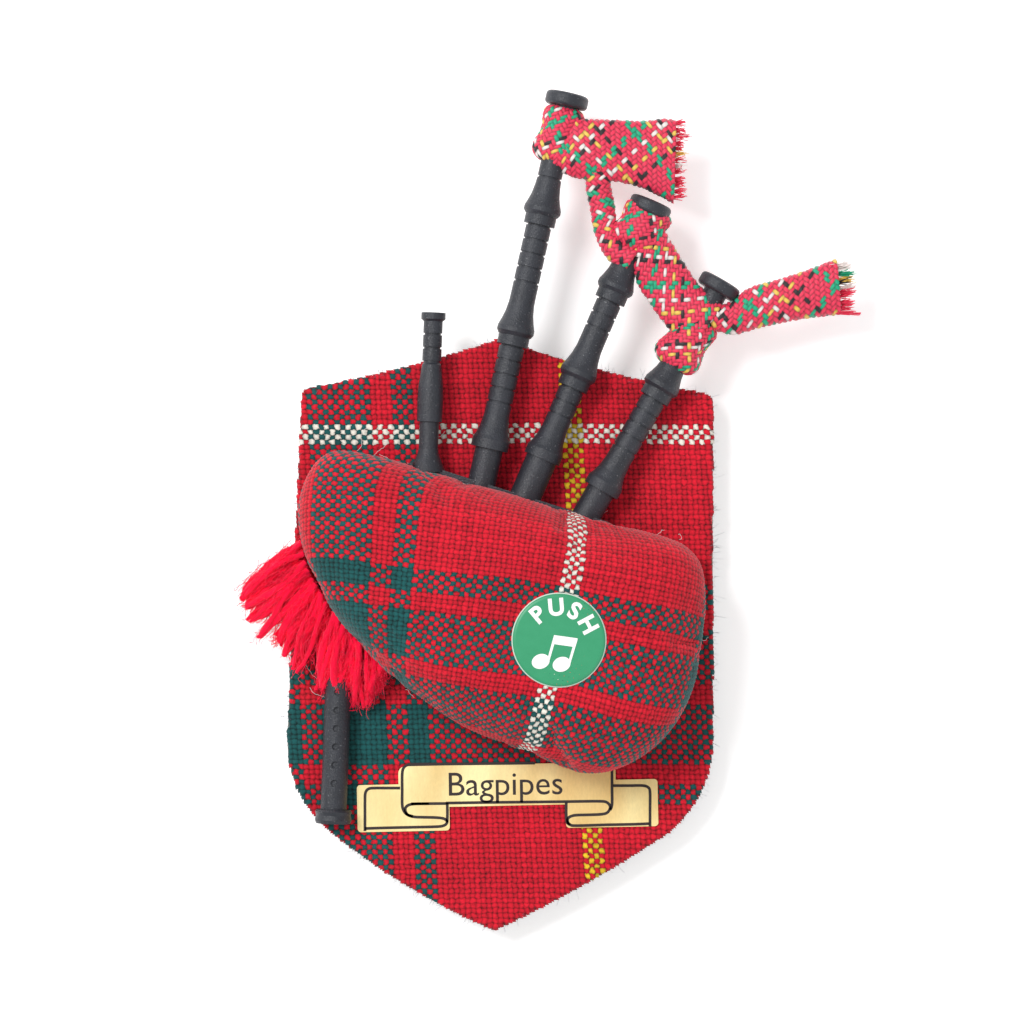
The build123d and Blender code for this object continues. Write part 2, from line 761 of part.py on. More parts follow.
with BuildPart() as module_screws:
    screw_seat_z = lid_top - screw_head_height
    with BuildSketch(module_plane(lid_z - screw_length + boss_gap)):
        with PolarLocations(boss_ring, boss_count, start_angle=30):
            Circle(screw_radius)
    extrude(amount=screw_seat_z - lid_z + screw_length - boss_gap)
    with BuildSketch(module_plane(screw_seat_z)):
        with PolarLocations(boss_ring, boss_count, start_angle=30):
            Circle(screw_head_radius)
            Rectangle(screw_head_radius * 1.5, screw_head_radius * 0.25, mode=Mode.SUBTRACT)
    extrude(amount=screw_head_height)
save(module_screws, "module_screws")

with BuildPart() as press_plunger:
    with BuildSketch(module_plane(stem_z)):
        Circle(stem_radius)
    extrude(amount=head_z + stem_socket - stem_z)
    with BuildSketch(module_plane(flange_z)):
        Circle(flange_radius)
    extrude(amount=flange_thickness)
save(press_plunger, "press_plunger")

with BuildPart() as press_head:
    with BuildSketch(module_plane(head_z)):
        Circle(head_radius)
    extrude(amount=patch_z - head_z)
    with BuildSketch(module_plane(head_z)):
        Circle(stem_radius + cap_joint_clearance)
    extrude(amount=stem_socket, mode=Mode.SUBTRACT)
save(press_head, "press_head")

with BuildPart() as return_spring:
    spring_rise = flange_z - circuit_top - spring_wire
    with BuildLine(module_plane(circuit_top + spring_wire / 2)):
        coil = Helix(spring_rise / spring_turns, spring_rise, spring_radius)
    with BuildSketch(Plane(origin=coil @ 0, z_dir=coil % 0)):
        Circle(spring_wire / 2)
    sweep()
save(return_spring, "return_spring")

with BuildPart() as press_patch:
    with BuildSketch(module_plane(patch_z)):
        Circle(patch_radius)
    extrude(amount=cloth_thickness)
save(press_patch, "press_patch")

with BuildPart() as press_label:
    with BuildSketch(module_plane(bag_top)):
        Circle(label_radius)
    extrude(amount=label_thickness)
save(press_label, "press_label")
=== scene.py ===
# %% [markdown]
# # A souvenir bagpipes
#
# A small stuffed tartan bag with black moulded pipes, glued to a shield that is covered in the
# same cloth. It lies on its back with its front up. The CAD frame fixes where every piece is
# and how the button moves, and this lesson makes the looks: woven cloth, turned plastic, yarn,
# a braided lace, gold foil and a printed label. Lengths are in metres, so a millimetre gets a
# name of its own.

# %% Load the frame
from math import cos, pi, radians, sin

import bmesh
import bpy
import numpy as np
from mathutils import Matrix, Vector


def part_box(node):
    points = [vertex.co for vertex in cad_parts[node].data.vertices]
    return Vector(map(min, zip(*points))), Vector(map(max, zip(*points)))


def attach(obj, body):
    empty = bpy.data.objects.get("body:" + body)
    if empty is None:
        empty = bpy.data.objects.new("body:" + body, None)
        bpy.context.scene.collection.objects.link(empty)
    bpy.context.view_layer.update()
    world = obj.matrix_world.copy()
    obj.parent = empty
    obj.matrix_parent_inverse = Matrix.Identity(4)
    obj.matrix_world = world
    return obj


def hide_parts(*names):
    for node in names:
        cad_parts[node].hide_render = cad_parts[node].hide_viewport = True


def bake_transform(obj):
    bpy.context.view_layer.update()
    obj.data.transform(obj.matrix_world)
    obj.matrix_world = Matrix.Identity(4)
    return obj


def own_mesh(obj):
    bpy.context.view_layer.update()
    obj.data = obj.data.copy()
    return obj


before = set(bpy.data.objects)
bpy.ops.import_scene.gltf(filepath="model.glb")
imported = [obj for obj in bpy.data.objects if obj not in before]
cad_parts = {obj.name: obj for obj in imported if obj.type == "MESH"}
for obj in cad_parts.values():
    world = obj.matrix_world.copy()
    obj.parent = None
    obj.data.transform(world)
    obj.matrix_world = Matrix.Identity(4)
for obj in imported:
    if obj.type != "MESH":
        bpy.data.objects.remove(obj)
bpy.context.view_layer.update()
mm = 0.001

# %% [markdown]
# ## Camera, light and floor
#
# The camera looks straight down from about 0.65 m, so near things grow only a little towards
# it. One large soft lamp on the left gives the gentle shadow to the right of each pipe, and a
# second one and a pale world fill it in. The view transform is Standard, because the filmic
# one turns a saturated red towards pink.

# %% Camera, lights and floor
scene = bpy.context.scene
camera_aim = Vector((1.68 * mm, 15.3 * mm, 0.0))
camera_height = 650 * mm
plane_height = 6 * mm  # the shield's face, where the view is as wide as view_width
view_width = 143.36 * mm
sensor_width = 36  # Blender counts a sensor and a lens in millimetres

camera_data = bpy.data.cameras.new("camera")
camera_data.sensor_width = sensor_width
camera_data.lens = sensor_width * (camera_height - plane_height) / view_width
camera = bpy.data.objects.new("camera", camera_data)
camera.location = camera_aim + Vector((0, 0, camera_height))
scene.collection.objects.link(camera)
scene.camera = camera
scene.view_settings.view_transform = "Standard"


def area_lamp(name, place, power, size):
    """A round lamp that faces the model. Its power is in watts."""
    lamp = bpy.data.lights.new(name, "AREA")
    lamp.shape = "DISK"
    lamp.energy = power
    lamp.size = size
    holder = bpy.data.objects.new(name, lamp)
    holder.location = Vector(place)
    holder.rotation_euler = (camera_aim - holder.location).to_track_quat("-Z", "Y").to_euler()
    scene.collection.objects.link(holder)


area_lamp("key_lamp", place=(-0.36, 0.30, 0.66), power=4.3, size=0.3)
area_lamp("fill_lamp", place=(0.45, -0.35, 0.7), power=0.9, size=0.6)

world = bpy.data.worlds.new("studio")
world.use_nodes = True
background = world.node_tree.nodes["Background"]
background.inputs["Color"].default_value = (1.0, 1.0, 1.0, 1.0)
background.inputs["Strength"].default_value = 0.62
scene.world = world

# %% [markdown]
# ## Node arithmetic as Python
#
# A woven surface is a formula: which thread is on top at a point, and how high it stands. The
# formula is needed twice, once in Geometry Nodes to raise the threads and once in the shader
# to colour them. The small class below wraps a node's output, so that the formula is written
# once, as ordinary arithmetic, and adds its Math nodes to whichever tree it is used in.


# %% A socket that does arithmetic
class Value:
    """One output of a node tree. Arithmetic on it adds Math nodes to the tree."""

    def __init__(self, tree, socket):
        self.tree, self.socket = tree, socket

    def math(self, operation, *others):
        return self.tree.node("ShaderNodeMath", {"operation": operation}, [self, *others])

    def __add__(self, other):
        return self.math("ADD", other)

    def __radd__(self, other):
        return self.math("ADD", other)

    def __sub__(self, other):
        return self.math("SUBTRACT", other)

    def __rsub__(self, other):
        return (self * -1.0).math("ADD", other)

    def __mul__(self, other):
        return self.math("MULTIPLY", other)

    def __truediv__(self, other):
        return self.math("DIVIDE", other)

    def __gt__(self, other):
        return self.math("GREATER_THAN", other)

    def rounded(self):
        return self.math("ROUND")

    def fraction(self):
        return self.math("FRACT")

    def cosine(self):
        return self.math("COSINE")

    def root(self):
        return self.math("SQRT")

    def at_least(self, low):
        return self.math("MAXIMUM", low)

    def at_most(self, high):
        return self.math("MINIMUM", high)


class Tree:
    """A shader's or a geometry tree, with methods that add nodes to it."""

    def __init__(self, tree):
        self.tree = tree

    def node(self, kind, settings=None, inputs=(), output=0):
        """Adds a node of any type and returns one of its outputs."""
        made = self.tree.nodes.new(kind)
        for name, value in (settings or {}).items():
            if name == "stops":
                self.set_stops(made.color_ramp, value)
            else:
                setattr(made, name, value)
        pairs = inputs.items() if isinstance(inputs, dict) else enumerate(inputs)
        for key, value in pairs:
            self.plug(made.inputs[key], value)
        return Value(self, made.outputs[output])

    def plug(self, socket, value):
        if isinstance(value, Value):
            self.tree.links.new(value.socket, socket)
        elif hasattr(value, "__len__") and len(value) == 3 and socket.type == "RGBA":
            socket.default_value = (*value, 1.0)
        else:
            socket.default_value = value

    @staticmethod
    def set_stops(ramp, stops):
        ramp.interpolation = "CONSTANT"
        while len(ramp.elements) > 1:
            ramp.elements.remove(ramp.elements[-1])
        for index, (place, colour) in enumerate(stops):
            stop = ramp.elements[0] if index == 0 else ramp.elements.new(place)
            stop.position = place
            stop.color = (*colour, 1.0)

    # A Mix node has sockets for every type of data under the same names, so they go by number:
    # 0 is the share, 2 and 3 take numbers, 6 and 7 take colours, and output 2 is a colour.

    def mix(self, share, low, high):
        """A blend of two colours."""
        return self.node("ShaderNodeMix", {"data_type": "RGBA"}, {0: share, 6: low, 7: high}, output=2)

    def mix_numbers(self, share, low, high):
        """A blend of two numbers."""
        return self.node("ShaderNodeMix", {"data_type": "FLOAT"}, {0: share, 2: low, 3: high})

    def lit(self, colour, light):
        """A colour times a number."""
        shade = self.node("ShaderNodeCombineColor", {}, [light, light, light])
        settings = {"data_type": "RGBA", "blend_type": "MULTIPLY"}
        return self.node("ShaderNodeMix", settings, {0: 1.0, 6: colour, 7: shade}, output=2)

    def split(self, vector):
        """The three components of a vector."""
        parts = self.tree.nodes.new("ShaderNodeSeparateXYZ")
        self.plug(parts.inputs[0], vector)
        return [Value(self, socket) for socket in parts.outputs]


def linear(red, green, blue):
    """A colour given in 0 to 255 display values, as the linear values that shaders use."""
    shown = [value / 255 for value in (red, green, blue)]
    return tuple(((v + 0.055) / 1.055) ** 2.4 if v > 0.04045 else v / 12.92 for v in shown)


def material(name):
    """A new material, its tree and its Principled shader node."""
    made = bpy.data.materials.new(name)
    made.use_nodes = True
    return made, Tree(made.node_tree), made.node_tree.nodes["Principled BSDF"]


def bumped(tree, shader, height, distance, strength):
    """Gives a shader a bump of a number between 0 and 1, which stands for a distance."""
    inputs = {"Strength": strength, "Distance": distance, "Height": height}
    normal = tree.node("ShaderNodeBump", {}, inputs)
    tree.plug(shader.inputs["Normal"], normal)


def object_noise(tree, scale, detail=3.0, roughness=0.5, stretch=(1, 1, 1)):
    """Noise on Object coordinates, as its plain value. Scale is in cycles per metre."""
    place = tree.node("ShaderNodeTexCoord", output="Object")
    place = tree.node("ShaderNodeMapping", {}, {"Vector": place, "Scale": stretch})
    inputs = {"Vector": place, "Scale": scale, "Detail": detail, "Roughness": roughness}
    return tree.node("ShaderNodeTexNoise", {}, inputs)


# %% Floor
floor_paint, tree, shader = material("pale_floor")
shader.inputs["Base Color"].default_value = (0.97, 0.97, 0.975, 1.0)
shader.inputs["Roughness"].default_value = 0.75
shader.inputs["Emission Color"].default_value = (1.0, 1.0, 1.0, 1.0)
shader.inputs["Emission Strength"].default_value = 0.32
floor_mesh = bpy.data.meshes.new("floor")
floor_reach = 3.0
floor_corners = [(x * floor_reach, y * floor_reach, 0) for x, y in ((-1, -1), (1, -1), (1, 1), (-1, 1))]
floor_mesh.from_pydata(floor_corners, [], [(0, 1, 2, 3)])
floor_mesh.materials.append(floor_paint)
floor = bpy.data.objects.new("floor", floor_mesh)
scene.collection.objects.link(floor)

# %% [markdown]
# ## The tartan
#
# Tartan is a plain weave: each crossing thread goes over one and under one. The same order of
# coloured threads, the sett, is used both ways, so two greens cross as solid green, and green
# on red makes a check of small squares. A Constant colour ramp over one whole repeat of 208
# threads holds the sett. `woven_heights` says how high the two threads stand at a point that
# is counted in threads, and the higher of the two is the one that shows.

# %% The weave formula and the sett
thread_pitch = 0.7 * mm
weave_width = 0.94  # a thread's width as a share of the pitch
red = linear(210, 22, 44)
green = linear(22, 84, 84)
white = linear(236, 230, 218)
yellow = linear(228, 190, 40)
green_check = [(green, 4), (red, 4), (green, 12), (red, 4), (green, 12), (red, 4), (green, 4)]
half_sett = [(red, 28), *green_check, (red, 28)]
sett = [(white, 4), *half_sett, (yellow, 4), *half_sett]
print("threads in one repeat of the tartan:", sum(count for _, count in sett))


def woven_heights(u, v, over, crimp, roundness, thread_width):
    """Heights of the threads that run along v and along u, at a point (u, v) in threads.

    over is how many threads each one passes over at a time. The threads' numbers come too.
    """
    i, j = u.rounded(), v.rounded()
    shift = 0.5 * (over - 1)
    bow_v = ((v + i - shift) * (pi / over)).cosine()
    bow_u = ((u + j - shift) * (pi / over)).cosine()
    across_u = (u - i) / (thread_width / 2)
    across_v = (v - j) / (thread_width / 2)
    crown_v = (1.0 - across_u * across_u).at_least(0.0).root()
    crown_u = (1.0 - across_v * across_v).at_least(0.0).root()
    return bow_v * crimp + crown_v * roundness, crown_u * roundness - bow_u * crimp, i, j


def interface(group, inputs):
    """Gives a geometry tree its sockets and returns its inputs by name."""
    for name, kind in inputs.items():
        group.interface.new_socket(name, in_out="INPUT", socket_type="NodeSocket" + kind)
    group.interface.new_socket("Geometry", in_out="OUTPUT", socket_type="NodeSocketGeometry")
    tree = Tree(group)
    given = group.nodes.new("NodeGroupInput")
    return tree, {name: Value(tree, given.outputs[name]) for name in inputs}


def finish_tree(tree, geometry, paint):
    """Ends a geometry tree in Realize Instances and Set Material."""
    real = tree.node("GeometryNodeRealizeInstances", {}, {"Geometry": geometry})
    painted = tree.node("GeometryNodeSetMaterial", {}, {"Geometry": real, "Material": paint})
    tree.plug(tree.tree.nodes.new("NodeGroupOutput").inputs[0], painted)


def relief_tree(over, thread_width):
    """Geometry Nodes that raise a woven relief on a mesh.

    The mesh's "threads" are u, v and 1 where the cloth stays smooth, such as under a cut edge.
    """
    group = bpy.data.node_groups.new("woven_relief", "GeometryNodeTree")
    sockets = {"Geometry": "Geometry", "Crimp": "Float", "Roundness": "Float", "Cloth": "Material"}
    tree, given = interface(group, sockets)
    settings = {"data_type": "FLOAT_VECTOR"}
    threads = tree.node("GeometryNodeInputNamedAttribute", settings, {"Name": "threads"})
    u, v, smooth = tree.split(threads)
    high_v, high_u, _, _ = woven_heights(u, v, over, given["Crimp"], given["Roundness"], thread_width)
    height = high_v.math("MAXIMUM", high_u) * (1.0 - smooth)
    normal = tree.node("GeometryNodeInputNormal")
    offset = tree.node("ShaderNodeVectorMath", {"operation": "SCALE"}, {0: normal, "Scale": height})
    moved = tree.node("GeometryNodeSetPosition", {}, {"Geometry": given["Geometry"], "Offset": offset})
    finish_tree(tree, moved, given["Cloth"])
    return group


def evaluated_mesh(piece):
    """A plain mesh of a piece as its modifiers leave it."""
    graph = bpy.context.evaluated_depsgraph_get()
    return bpy.data.meshes.new_from_object(piece.evaluated_get(graph))


def apply_tree(piece, group, **inputs):
    """Runs a geometry tree on a piece and keeps the result as the piece's plain mesh."""
    modifier = piece.modifiers.new(group.name, "NODES")
    modifier.node_group = group
    for item in group.interface.items_tree:
        if item.in_out == "INPUT" and item.name in inputs:
            modifier[item.identifier] = inputs[item.name]
    made = evaluated_mesh(piece)
    piece.modifiers.remove(modifier)
    piece.data = made
    piece.data.name = piece.name


# %% [markdown]
# ## Cloth material
#
# The shader asks the same formula which thread is on top, looks its colour up in the sett, and
# then breaks the colour up as wool does: each thread is a little lighter or darker than the
# next, and its fibres streak along it. Painted shade darkens its edges between the crossings.


# %% Woven cloth materials
def colour_runs(tree, place, runs):
    """The colour at a place from 0 to 1 along runs, which are colours and their lengths."""
    total = sum(length for _, length in runs)
    stops, done = [], 0
    for colour, length in runs:
        stops.append((done / total, colour))
        done += length
    return tree.node("ShaderNodeValToRGB", {"stops": stops}, [place])


def thread_colour(tree, number, first, runs, step=1.0):
    """A thread's colour, from its number. step is -1 where the count runs back."""
    total = sum(length for _, length in runs)
    place = ((number * step + (first + 0.5)) / total).fraction()
    return colour_runs(tree, place, runs)


def streaks(tree, u, v, along_u, along_v, detail=2.0):
    """Noise in thread coordinates, stretched along the thread."""
    place = tree.node("ShaderNodeCombineXYZ", {}, [u * along_u, v * along_v, 0.0])
    return tree.node("ShaderNodeTexNoise", {}, {"Vector": place, "Scale": 1.0, "Detail": detail})


def random_of(tree, number, seed):
    """A random number for each whole number."""
    return tree.node("ShaderNodeTexWhiteNoise", {"noise_dimensions": "1D"}, {"W": number * 1.37 + seed})


def tartan(name, warp_first, weft_first):
    """Tartan in wool: warp_first and weft_first are the sett's places of threads number 0."""
    made, tree, shader = material(name)
    threads = tree.node("ShaderNodeAttribute", {"attribute_name": "threads"}, output="Vector")
    u, v, _ = tree.split(threads)
    # Thread edges wander a little, so that no two crossings have quite the same outline.
    seen_u = u + (streaks(tree, u, v, 0.9, 0.9) - 0.5)
    seen_v = v + (streaks(tree, v, u, 0.9, 0.9) - 0.5)
    high_v, high_u, i, j = woven_heights(seen_u, seen_v, 1, 0.5, 0.5, weave_width)
    warp_on_top = high_v > high_u
    warp = thread_colour(tree, i, warp_first, sett)
    weft = thread_colour(tree, j, weft_first, sett, step=-1.0)
    colour = tree.mix(warp_on_top, weft, warp)
    # A thread's own tone, its fibres and a broad patchiness lighten it. Painted shade
    # darkens the gaps between the crossings.
    tone = tree.mix_numbers(warp_on_top, random_of(tree, j, 7.0), random_of(tree, i, 31.0))
    fibres = tree.mix_numbers(
        warp_on_top, streaks(tree, u, v, 1.6, 9.0), streaks(tree, u, v, 9.0, 1.6)
    )
    blotch = streaks(tree, u, v, 0.09, 0.09, 3.0)
    gap = (0.97 - high_v.math("MAXIMUM", high_u)).at_least(0.0)
    light = 0.46 + tone * 0.34 + fibres * 0.66 + blotch * 0.22 - gap * 1.1
    tree.plug(shader.inputs["Base Color"], tree.lit(colour, light.at_least(0.06)))
    shader.inputs["Roughness"].default_value = 0.82
    shader.inputs["Specular IOR Level"].default_value = 0.25
    shader.inputs["Sheen Weight"].default_value = 0.18
    shader.inputs["Sheen Roughness"].default_value = 0.45
    bumped(tree, shader, fibres, 0.10 * mm, 0.55)
    return made


plaque_cloth = tartan("plaque_tartan", warp_first=89, weft_first=39)
bag_cloth = tartan("bag_tartan", warp_first=2, weft_first=52)


# %% [markdown]
# ## A mesh that is cut from cloth
#
# Each piece of cloth starts as a flat grid that is counted in threads, with three steps to a
# thread, so the relief falls the same way on every crossing. A function then lays the grid on
# its piece. Points outside the cut are dropped, which leaves the stepped edge that cut threads
# have.


# %% Helpers that make a mesh
steps_per_thread = 3


def new_object(name, mesh, paint=None):
    """A new object in the scene, with one material where that is given."""
    made = bpy.data.objects.new(name, mesh)
    scene.collection.objects.link(made)
    if paint is not None:
        mesh.materials.clear()
        mesh.materials.append(paint)
    return made


def mesh_of(name, points, faces, smooth=True):
    """A mesh from points and faces."""
    mesh = bpy.data.meshes.new(name)
    mesh.from_pydata([tuple(p) for p in points], [], [tuple(f) for f in faces])
    if smooth:
        mesh.shade_smooth()
    return mesh


def add_attribute(mesh, name, values, kind="FLOAT_VECTOR"):
    """Puts a value on every point of a mesh, for the node trees to read."""
    attribute = mesh.attributes.new(name, kind, "POINT")
    key = "vector" if kind == "FLOAT_VECTOR" else "value"
    attribute.data.foreach_set(key, np.asarray(values, np.float32).ravel())


def face_outwards(mesh):
    """Turns the faces of a closed mesh to look out of it."""
    work = bmesh.new()
    work.from_mesh(mesh)
    bmesh.ops.recalc_face_normals(work, faces=work.faces)
    work.to_mesh(mesh)
    work.free()


def cut_grid(kept):
    """Quads of a grid that have all four corners kept, and the grid's points that they use."""
    number = np.arange(kept.size).reshape(kept.shape)
    corners = [np.s_[:-1, :-1], np.s_[1:, :-1], np.s_[1:, 1:], np.s_[:-1, 1:]]
    whole = np.all([kept[corner] for corner in corners], axis=0)
    quads = np.stack([number[corner] for corner in corners], -1)[whole]
    used = np.unique(quads)
    renumber = np.full(kept.size, -1)
    renumber[used] = np.arange(len(used))
    return renumber[quads], used


def woven_mesh(name, u_span, v_span, place, inside, floor_z):
    """A grid of cloth. place and inside take arrays of u and v; its edges hang to floor_z."""
    us, vs = (
        np.arange(low * steps_per_thread, high * steps_per_thread + 1) / steps_per_thread
        for low, high in (u_span, v_span)
    )
    u, v = (grid.ravel() for grid in np.meshgrid(us, vs, indexing="ij"))
    quads, used = cut_grid(inside(u, v).reshape(len(us), len(vs)))
    u, v = u[used], v[used]
    points = place(u, v)
    threads = np.stack([u, v, np.zeros_like(u)], -1)
    # The edges that only one face has are the cut. A strip hangs from them to floor_z, and a
    # fan about its middle closes it. Both stay smooth, so their third number is 1.
    starts = quads.ravel()
    ends = np.roll(quads, -1, axis=1).ravel()
    forward = set(zip(starts.tolist(), ends.tolist()))
    cut = [(a, b) for a, b in forward if (b, a) not in forward]
    rim = sorted({a for a, _ in cut})
    hanging = points[rim].copy()
    hanging[:, 2] = floor_z
    centre = [[*hanging[:, :2].mean(0), floor_z]]
    below = {a: len(points) + n for n, a in enumerate(rim)}
    middle = len(points) + len(rim)
    faces = quads.tolist() + [(b, a, below[a], below[b]) for a, b in cut]
    faces += [(below[b], below[a], middle) for a, b in cut]
    mesh = mesh_of(name, np.concatenate([points, hanging, centre]), faces)
    smooth_rim = threads[rim] + [0, 0, 1.0]
    add_attribute(mesh, "threads", np.concatenate([threads, smooth_rim, [[0, 0, 1.0]]]))
    return mesh


# %% [markdown]
# ## The shield
#
# The front of the shield is a flat piece of cloth, cut flush with the board. The outline comes
# from the CAD board itself: the points of its top face, sorted by angle about the middle, give
# its radius in every direction, which is all that a cut needs here.


# %% Outlines as a radius in each direction
def outline_area(outline):
    """The area inside a closed outline, by the shoelace rule."""
    x, y = outline.T
    return 0.5 * abs(np.dot(x, np.roll(y, -1)) - np.dot(y, np.roll(x, -1)))


def radius_table(outline, centre, samples=1440):
    """Radii of a closed outline about a centre, at equal steps of angle."""
    points = np.asarray(outline, float) - np.asarray(centre, float)
    after = np.roll(points, -1, axis=0)
    share = np.linspace(0, 1, 60, endpoint=False)[None, :, None]
    x, y = (points[:, None] * (1 - share) + after[:, None] * share).reshape(-1, 2).T
    angle, radius = np.arctan2(y, x), np.hypot(x, y)
    order = np.argsort(angle)
    wanted = np.linspace(-pi, pi, samples, endpoint=False)
    return np.interp(wanted, angle[order], radius[order], period=2 * pi)


def radius_at(table, angle):
    """A radius table's value in a direction."""
    place = (np.asarray(angle) + pi) / (2 * pi) * len(table)
    low = np.floor(place).astype(int)
    share = place - low
    return table[low % len(table)] * (1 - share) + table[(low + 1) % len(table)] * share


def top_outline(node):
    """Corner points of a flat CAD node's top face, in order round its middle."""
    points = np.array([v.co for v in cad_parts[node].data.vertices])
    top = points[points[:, 2] > points[:, 2].max() - 0.01 * mm][:, :2]
    top = np.unique(np.round(top, 7), axis=0)
    middle = (top.min(0) + top.max(0)) / 2
    return top[np.argsort(np.arctan2(top[:, 1] - middle[1], top[:, 0] - middle[0]))]


# %% Shield cloth
low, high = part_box("front_cloth")
shield_top = high.z
shield_outline = top_outline("front_cloth")
shield_radii = radius_table(shield_outline, (0.0, 0.0))
warp_lean = 0.051  # how far the warp leans to the left for each length up
warp_pitch = 1.054 * thread_pitch  # the warp is set a little wider than the weft
yellow_thread = 16.5  # the count at the middle of the thin yellow line
yellow_place = 11.47 * mm
plaque_crimp, plaque_round = 0.17 * mm, 0.24 * mm


def shield_edge_gap(x, y):
    """How far a point is inside the shield's outline, measured towards the middle."""
    return radius_at(shield_radii, np.arctan2(y, x)) - np.hypot(x, y)


def shield_plan(u, v):
    """Where a count of threads lies on the shield, a little unevenly."""
    y = v * thread_pitch
    x = (u - yellow_thread) * warp_pitch + yellow_place - warp_lean * y
    wander = 0.12 * mm
    x = x + wander * np.sin(y / (9 * mm)) + 0.6 * wander * np.sin(x / (5 * mm) + y / (7 * mm))
    y = y + wander * np.sin(x / (8 * mm) + 1.0)
    return x, y


def place_shield(u, v):
    x, y = shield_plan(u, v)
    gap = shield_edge_gap(x, y)
    roll = np.clip(1 - gap / (0.9 * mm), 0, 1) ** 2 * 0.18 * mm
    swell = 0.05 * mm * np.sin(x / (6 * mm)) * np.sin(y / (7.5 * mm))
    z = shield_top - plaque_crimp - plaque_round + swell - roll
    return np.stack([x, y, z], -1)


def inside_shield(u, v):
    x, y = shield_plan(u, v)
    ragged = 0.07 * mm * np.sin(41 * x / mm) * np.sin(37 * y / mm)
    return shield_edge_gap(x, y) > ragged


plain_relief = relief_tree(1, weave_width)
u_reach = int((high.x - low.x) / thread_pitch / 2) + 5
shield_mesh = woven_mesh(
    "front_cloth_woven",
    (-u_reach, u_reach),
    (int(low.y / thread_pitch) - 2, int(high.y / thread_pitch) + 2),
    place_shield,
    inside_shield,
    low.z,
)
shield_cloth = new_object("front_cloth_woven", shield_mesh, plaque_cloth)
apply_tree(shield_cloth, plain_relief, Crimp=plaque_crimp, Roundness=plaque_round, Cloth=plaque_cloth)
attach(shield_cloth, "root")
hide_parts("front_cloth")
print("shield cloth triangles:", 2 * len(shield_cloth.data.polygons))


# %% [markdown]
# ## The bag
#
# The bag is a stuffed dome. Round its button, every direction has a profile: it leaves the top
# flat, rolls over to the widest point and tucks in to the shield. A point of cloth is given by
# its direction and its distance along that profile, so threads keep their spacing as they go
# over the edge. The table of ties says where stripes of the cloth lie as seen from above, and a
# fitted quadratic turns these ties into a lay of the whole cloth.

# %% The stuffed shape
bag_outline = np.array([
    (-24.2, 22.2), (-20.2, 22.9), (-8.3, 20.0), (5.6, 16.2), (13.9, 13.4), (22.6, 11.2), (26.0, 9.4),
    (27.6, 5.9), (27.2, -2.5), (25.8, -9.4), (22.4, -15.2), (17.4, -19.0), (12.6, -20.2), (7.0, -18.6),
    (-2.8, -14.9), (-9.7, -10.8), (-15.9, -5.9), (-21.8, 0.6), (-25.4, 7.3), (-27.0, 12.8), (-26.6, 18.2),
]) * mm
bag_middle = np.array([5.0, -0.5]) * mm
bag_base, bag_wide, bag_top = 6.0 * mm, 11.2 * mm, 21.4 * mm
bag_tuck = 0.14  # how far the bag draws in under its widest line, as a share of its radius
bag_roll = 3.5  # the superellipse's power: 2 is round, and more is fuller at the shoulders
profile_steps = 160
label_middle = np.array([8.1, -2.2]) * mm
label_radius = 6.5 * mm


def closed_curve(points, steps=24):
    """A smooth closed curve through points, by Catmull-Rom."""
    p = np.asarray(points, float)
    before, after, beyond = np.roll(p, 1, 0), np.roll(p, -1, 0), np.roll(p, -2, 0)
    t = np.linspace(0, 1, steps, endpoint=False)[None, :, None]
    p, before, after, beyond = (x[:, None] for x in (p, before, after, beyond))
    curve = 0.5 * (
        2 * p + (after - before) * t + (2 * before - 5 * p + 4 * after - beyond) * t**2
        + (3 * p - before - 3 * after + beyond) * t**3
    )
    return curve.reshape(-1, 2)


bag_radii = radius_table(closed_curve(bag_outline), bag_middle, 720)


def bag_profiles():
    """Radius and height along the profile of every direction, at equal steps of length."""
    turn = np.linspace(0, pi, 400)
    up = turn <= pi / 2
    # Above its widest line the profile is a superellipse, and below it the bag draws in.
    under = 1 - np.sin(turn)
    shoulder = np.abs(np.sin(turn)) ** (2 / bag_roll)
    rise = np.abs(np.cos(turn)) ** (2 / bag_roll)
    radius = np.where(up, shoulder, 1 - bag_tuck * under**1.3)
    upper, lower = bag_wide + (bag_top - bag_wide) * rise, bag_wide - (bag_wide - bag_base) * under**0.8
    height = np.where(up, upper, lower)
    r = bag_radii[:, None] * radius[None]
    z = np.repeat(height[None], len(r), 0)
    length = np.concatenate([np.zeros((len(r), 1)), np.cumsum(np.hypot(np.diff(r), np.diff(z)), 1)], 1)
    even = np.linspace(0, 1, profile_steps)
    r_even = np.array([np.interp(even, a / a[-1], b) for a, b in zip(length, r)])
    z_even = np.array([np.interp(even, a / a[-1], b) for a, b in zip(length, z)])
    return r_even, z_even, length[:, -1]


profile_r, profile_z, profile_length = bag_profiles()


def on_bag(x, y, inset=0.0):
    """Surface points of the bag for points of the flat cloth, and their shares of the way down."""
    x, y = x - bag_middle[0], y - bag_middle[1]
    angle, distance = np.arctan2(y, x), np.hypot(x, y)
    share = distance / radius_at(profile_length, angle)
    place = (angle + pi) / (2 * pi) * len(profile_r)
    row = np.floor(place).astype(int)
    past_row = place - row
    place = np.clip(share, 0, 1) * (profile_steps - 1)
    column = np.minimum(np.floor(place).astype(int), profile_steps - 2)
    past_column = place - column

    def read(table):
        near, far = row % len(table), (row + 1) % len(table)
        low = table[near, column] * (1 - past_column) + table[near, column + 1] * past_column
        high = table[far, column] * (1 - past_column) + table[far, column + 1] * past_column
        return low * (1 - past_row) + high * past_row

    r, z = read(profile_r), read(profile_z)
    r = r * (1 - inset / np.maximum(radius_at(bag_radii, angle), 1 * mm))
    z = bag_base + (z - bag_base) * (1 - inset / (bag_top - bag_base))
    points = np.stack([bag_middle[0] + r * np.cos(angle), bag_middle[1] + r * np.sin(angle), z], -1)
    return points, share


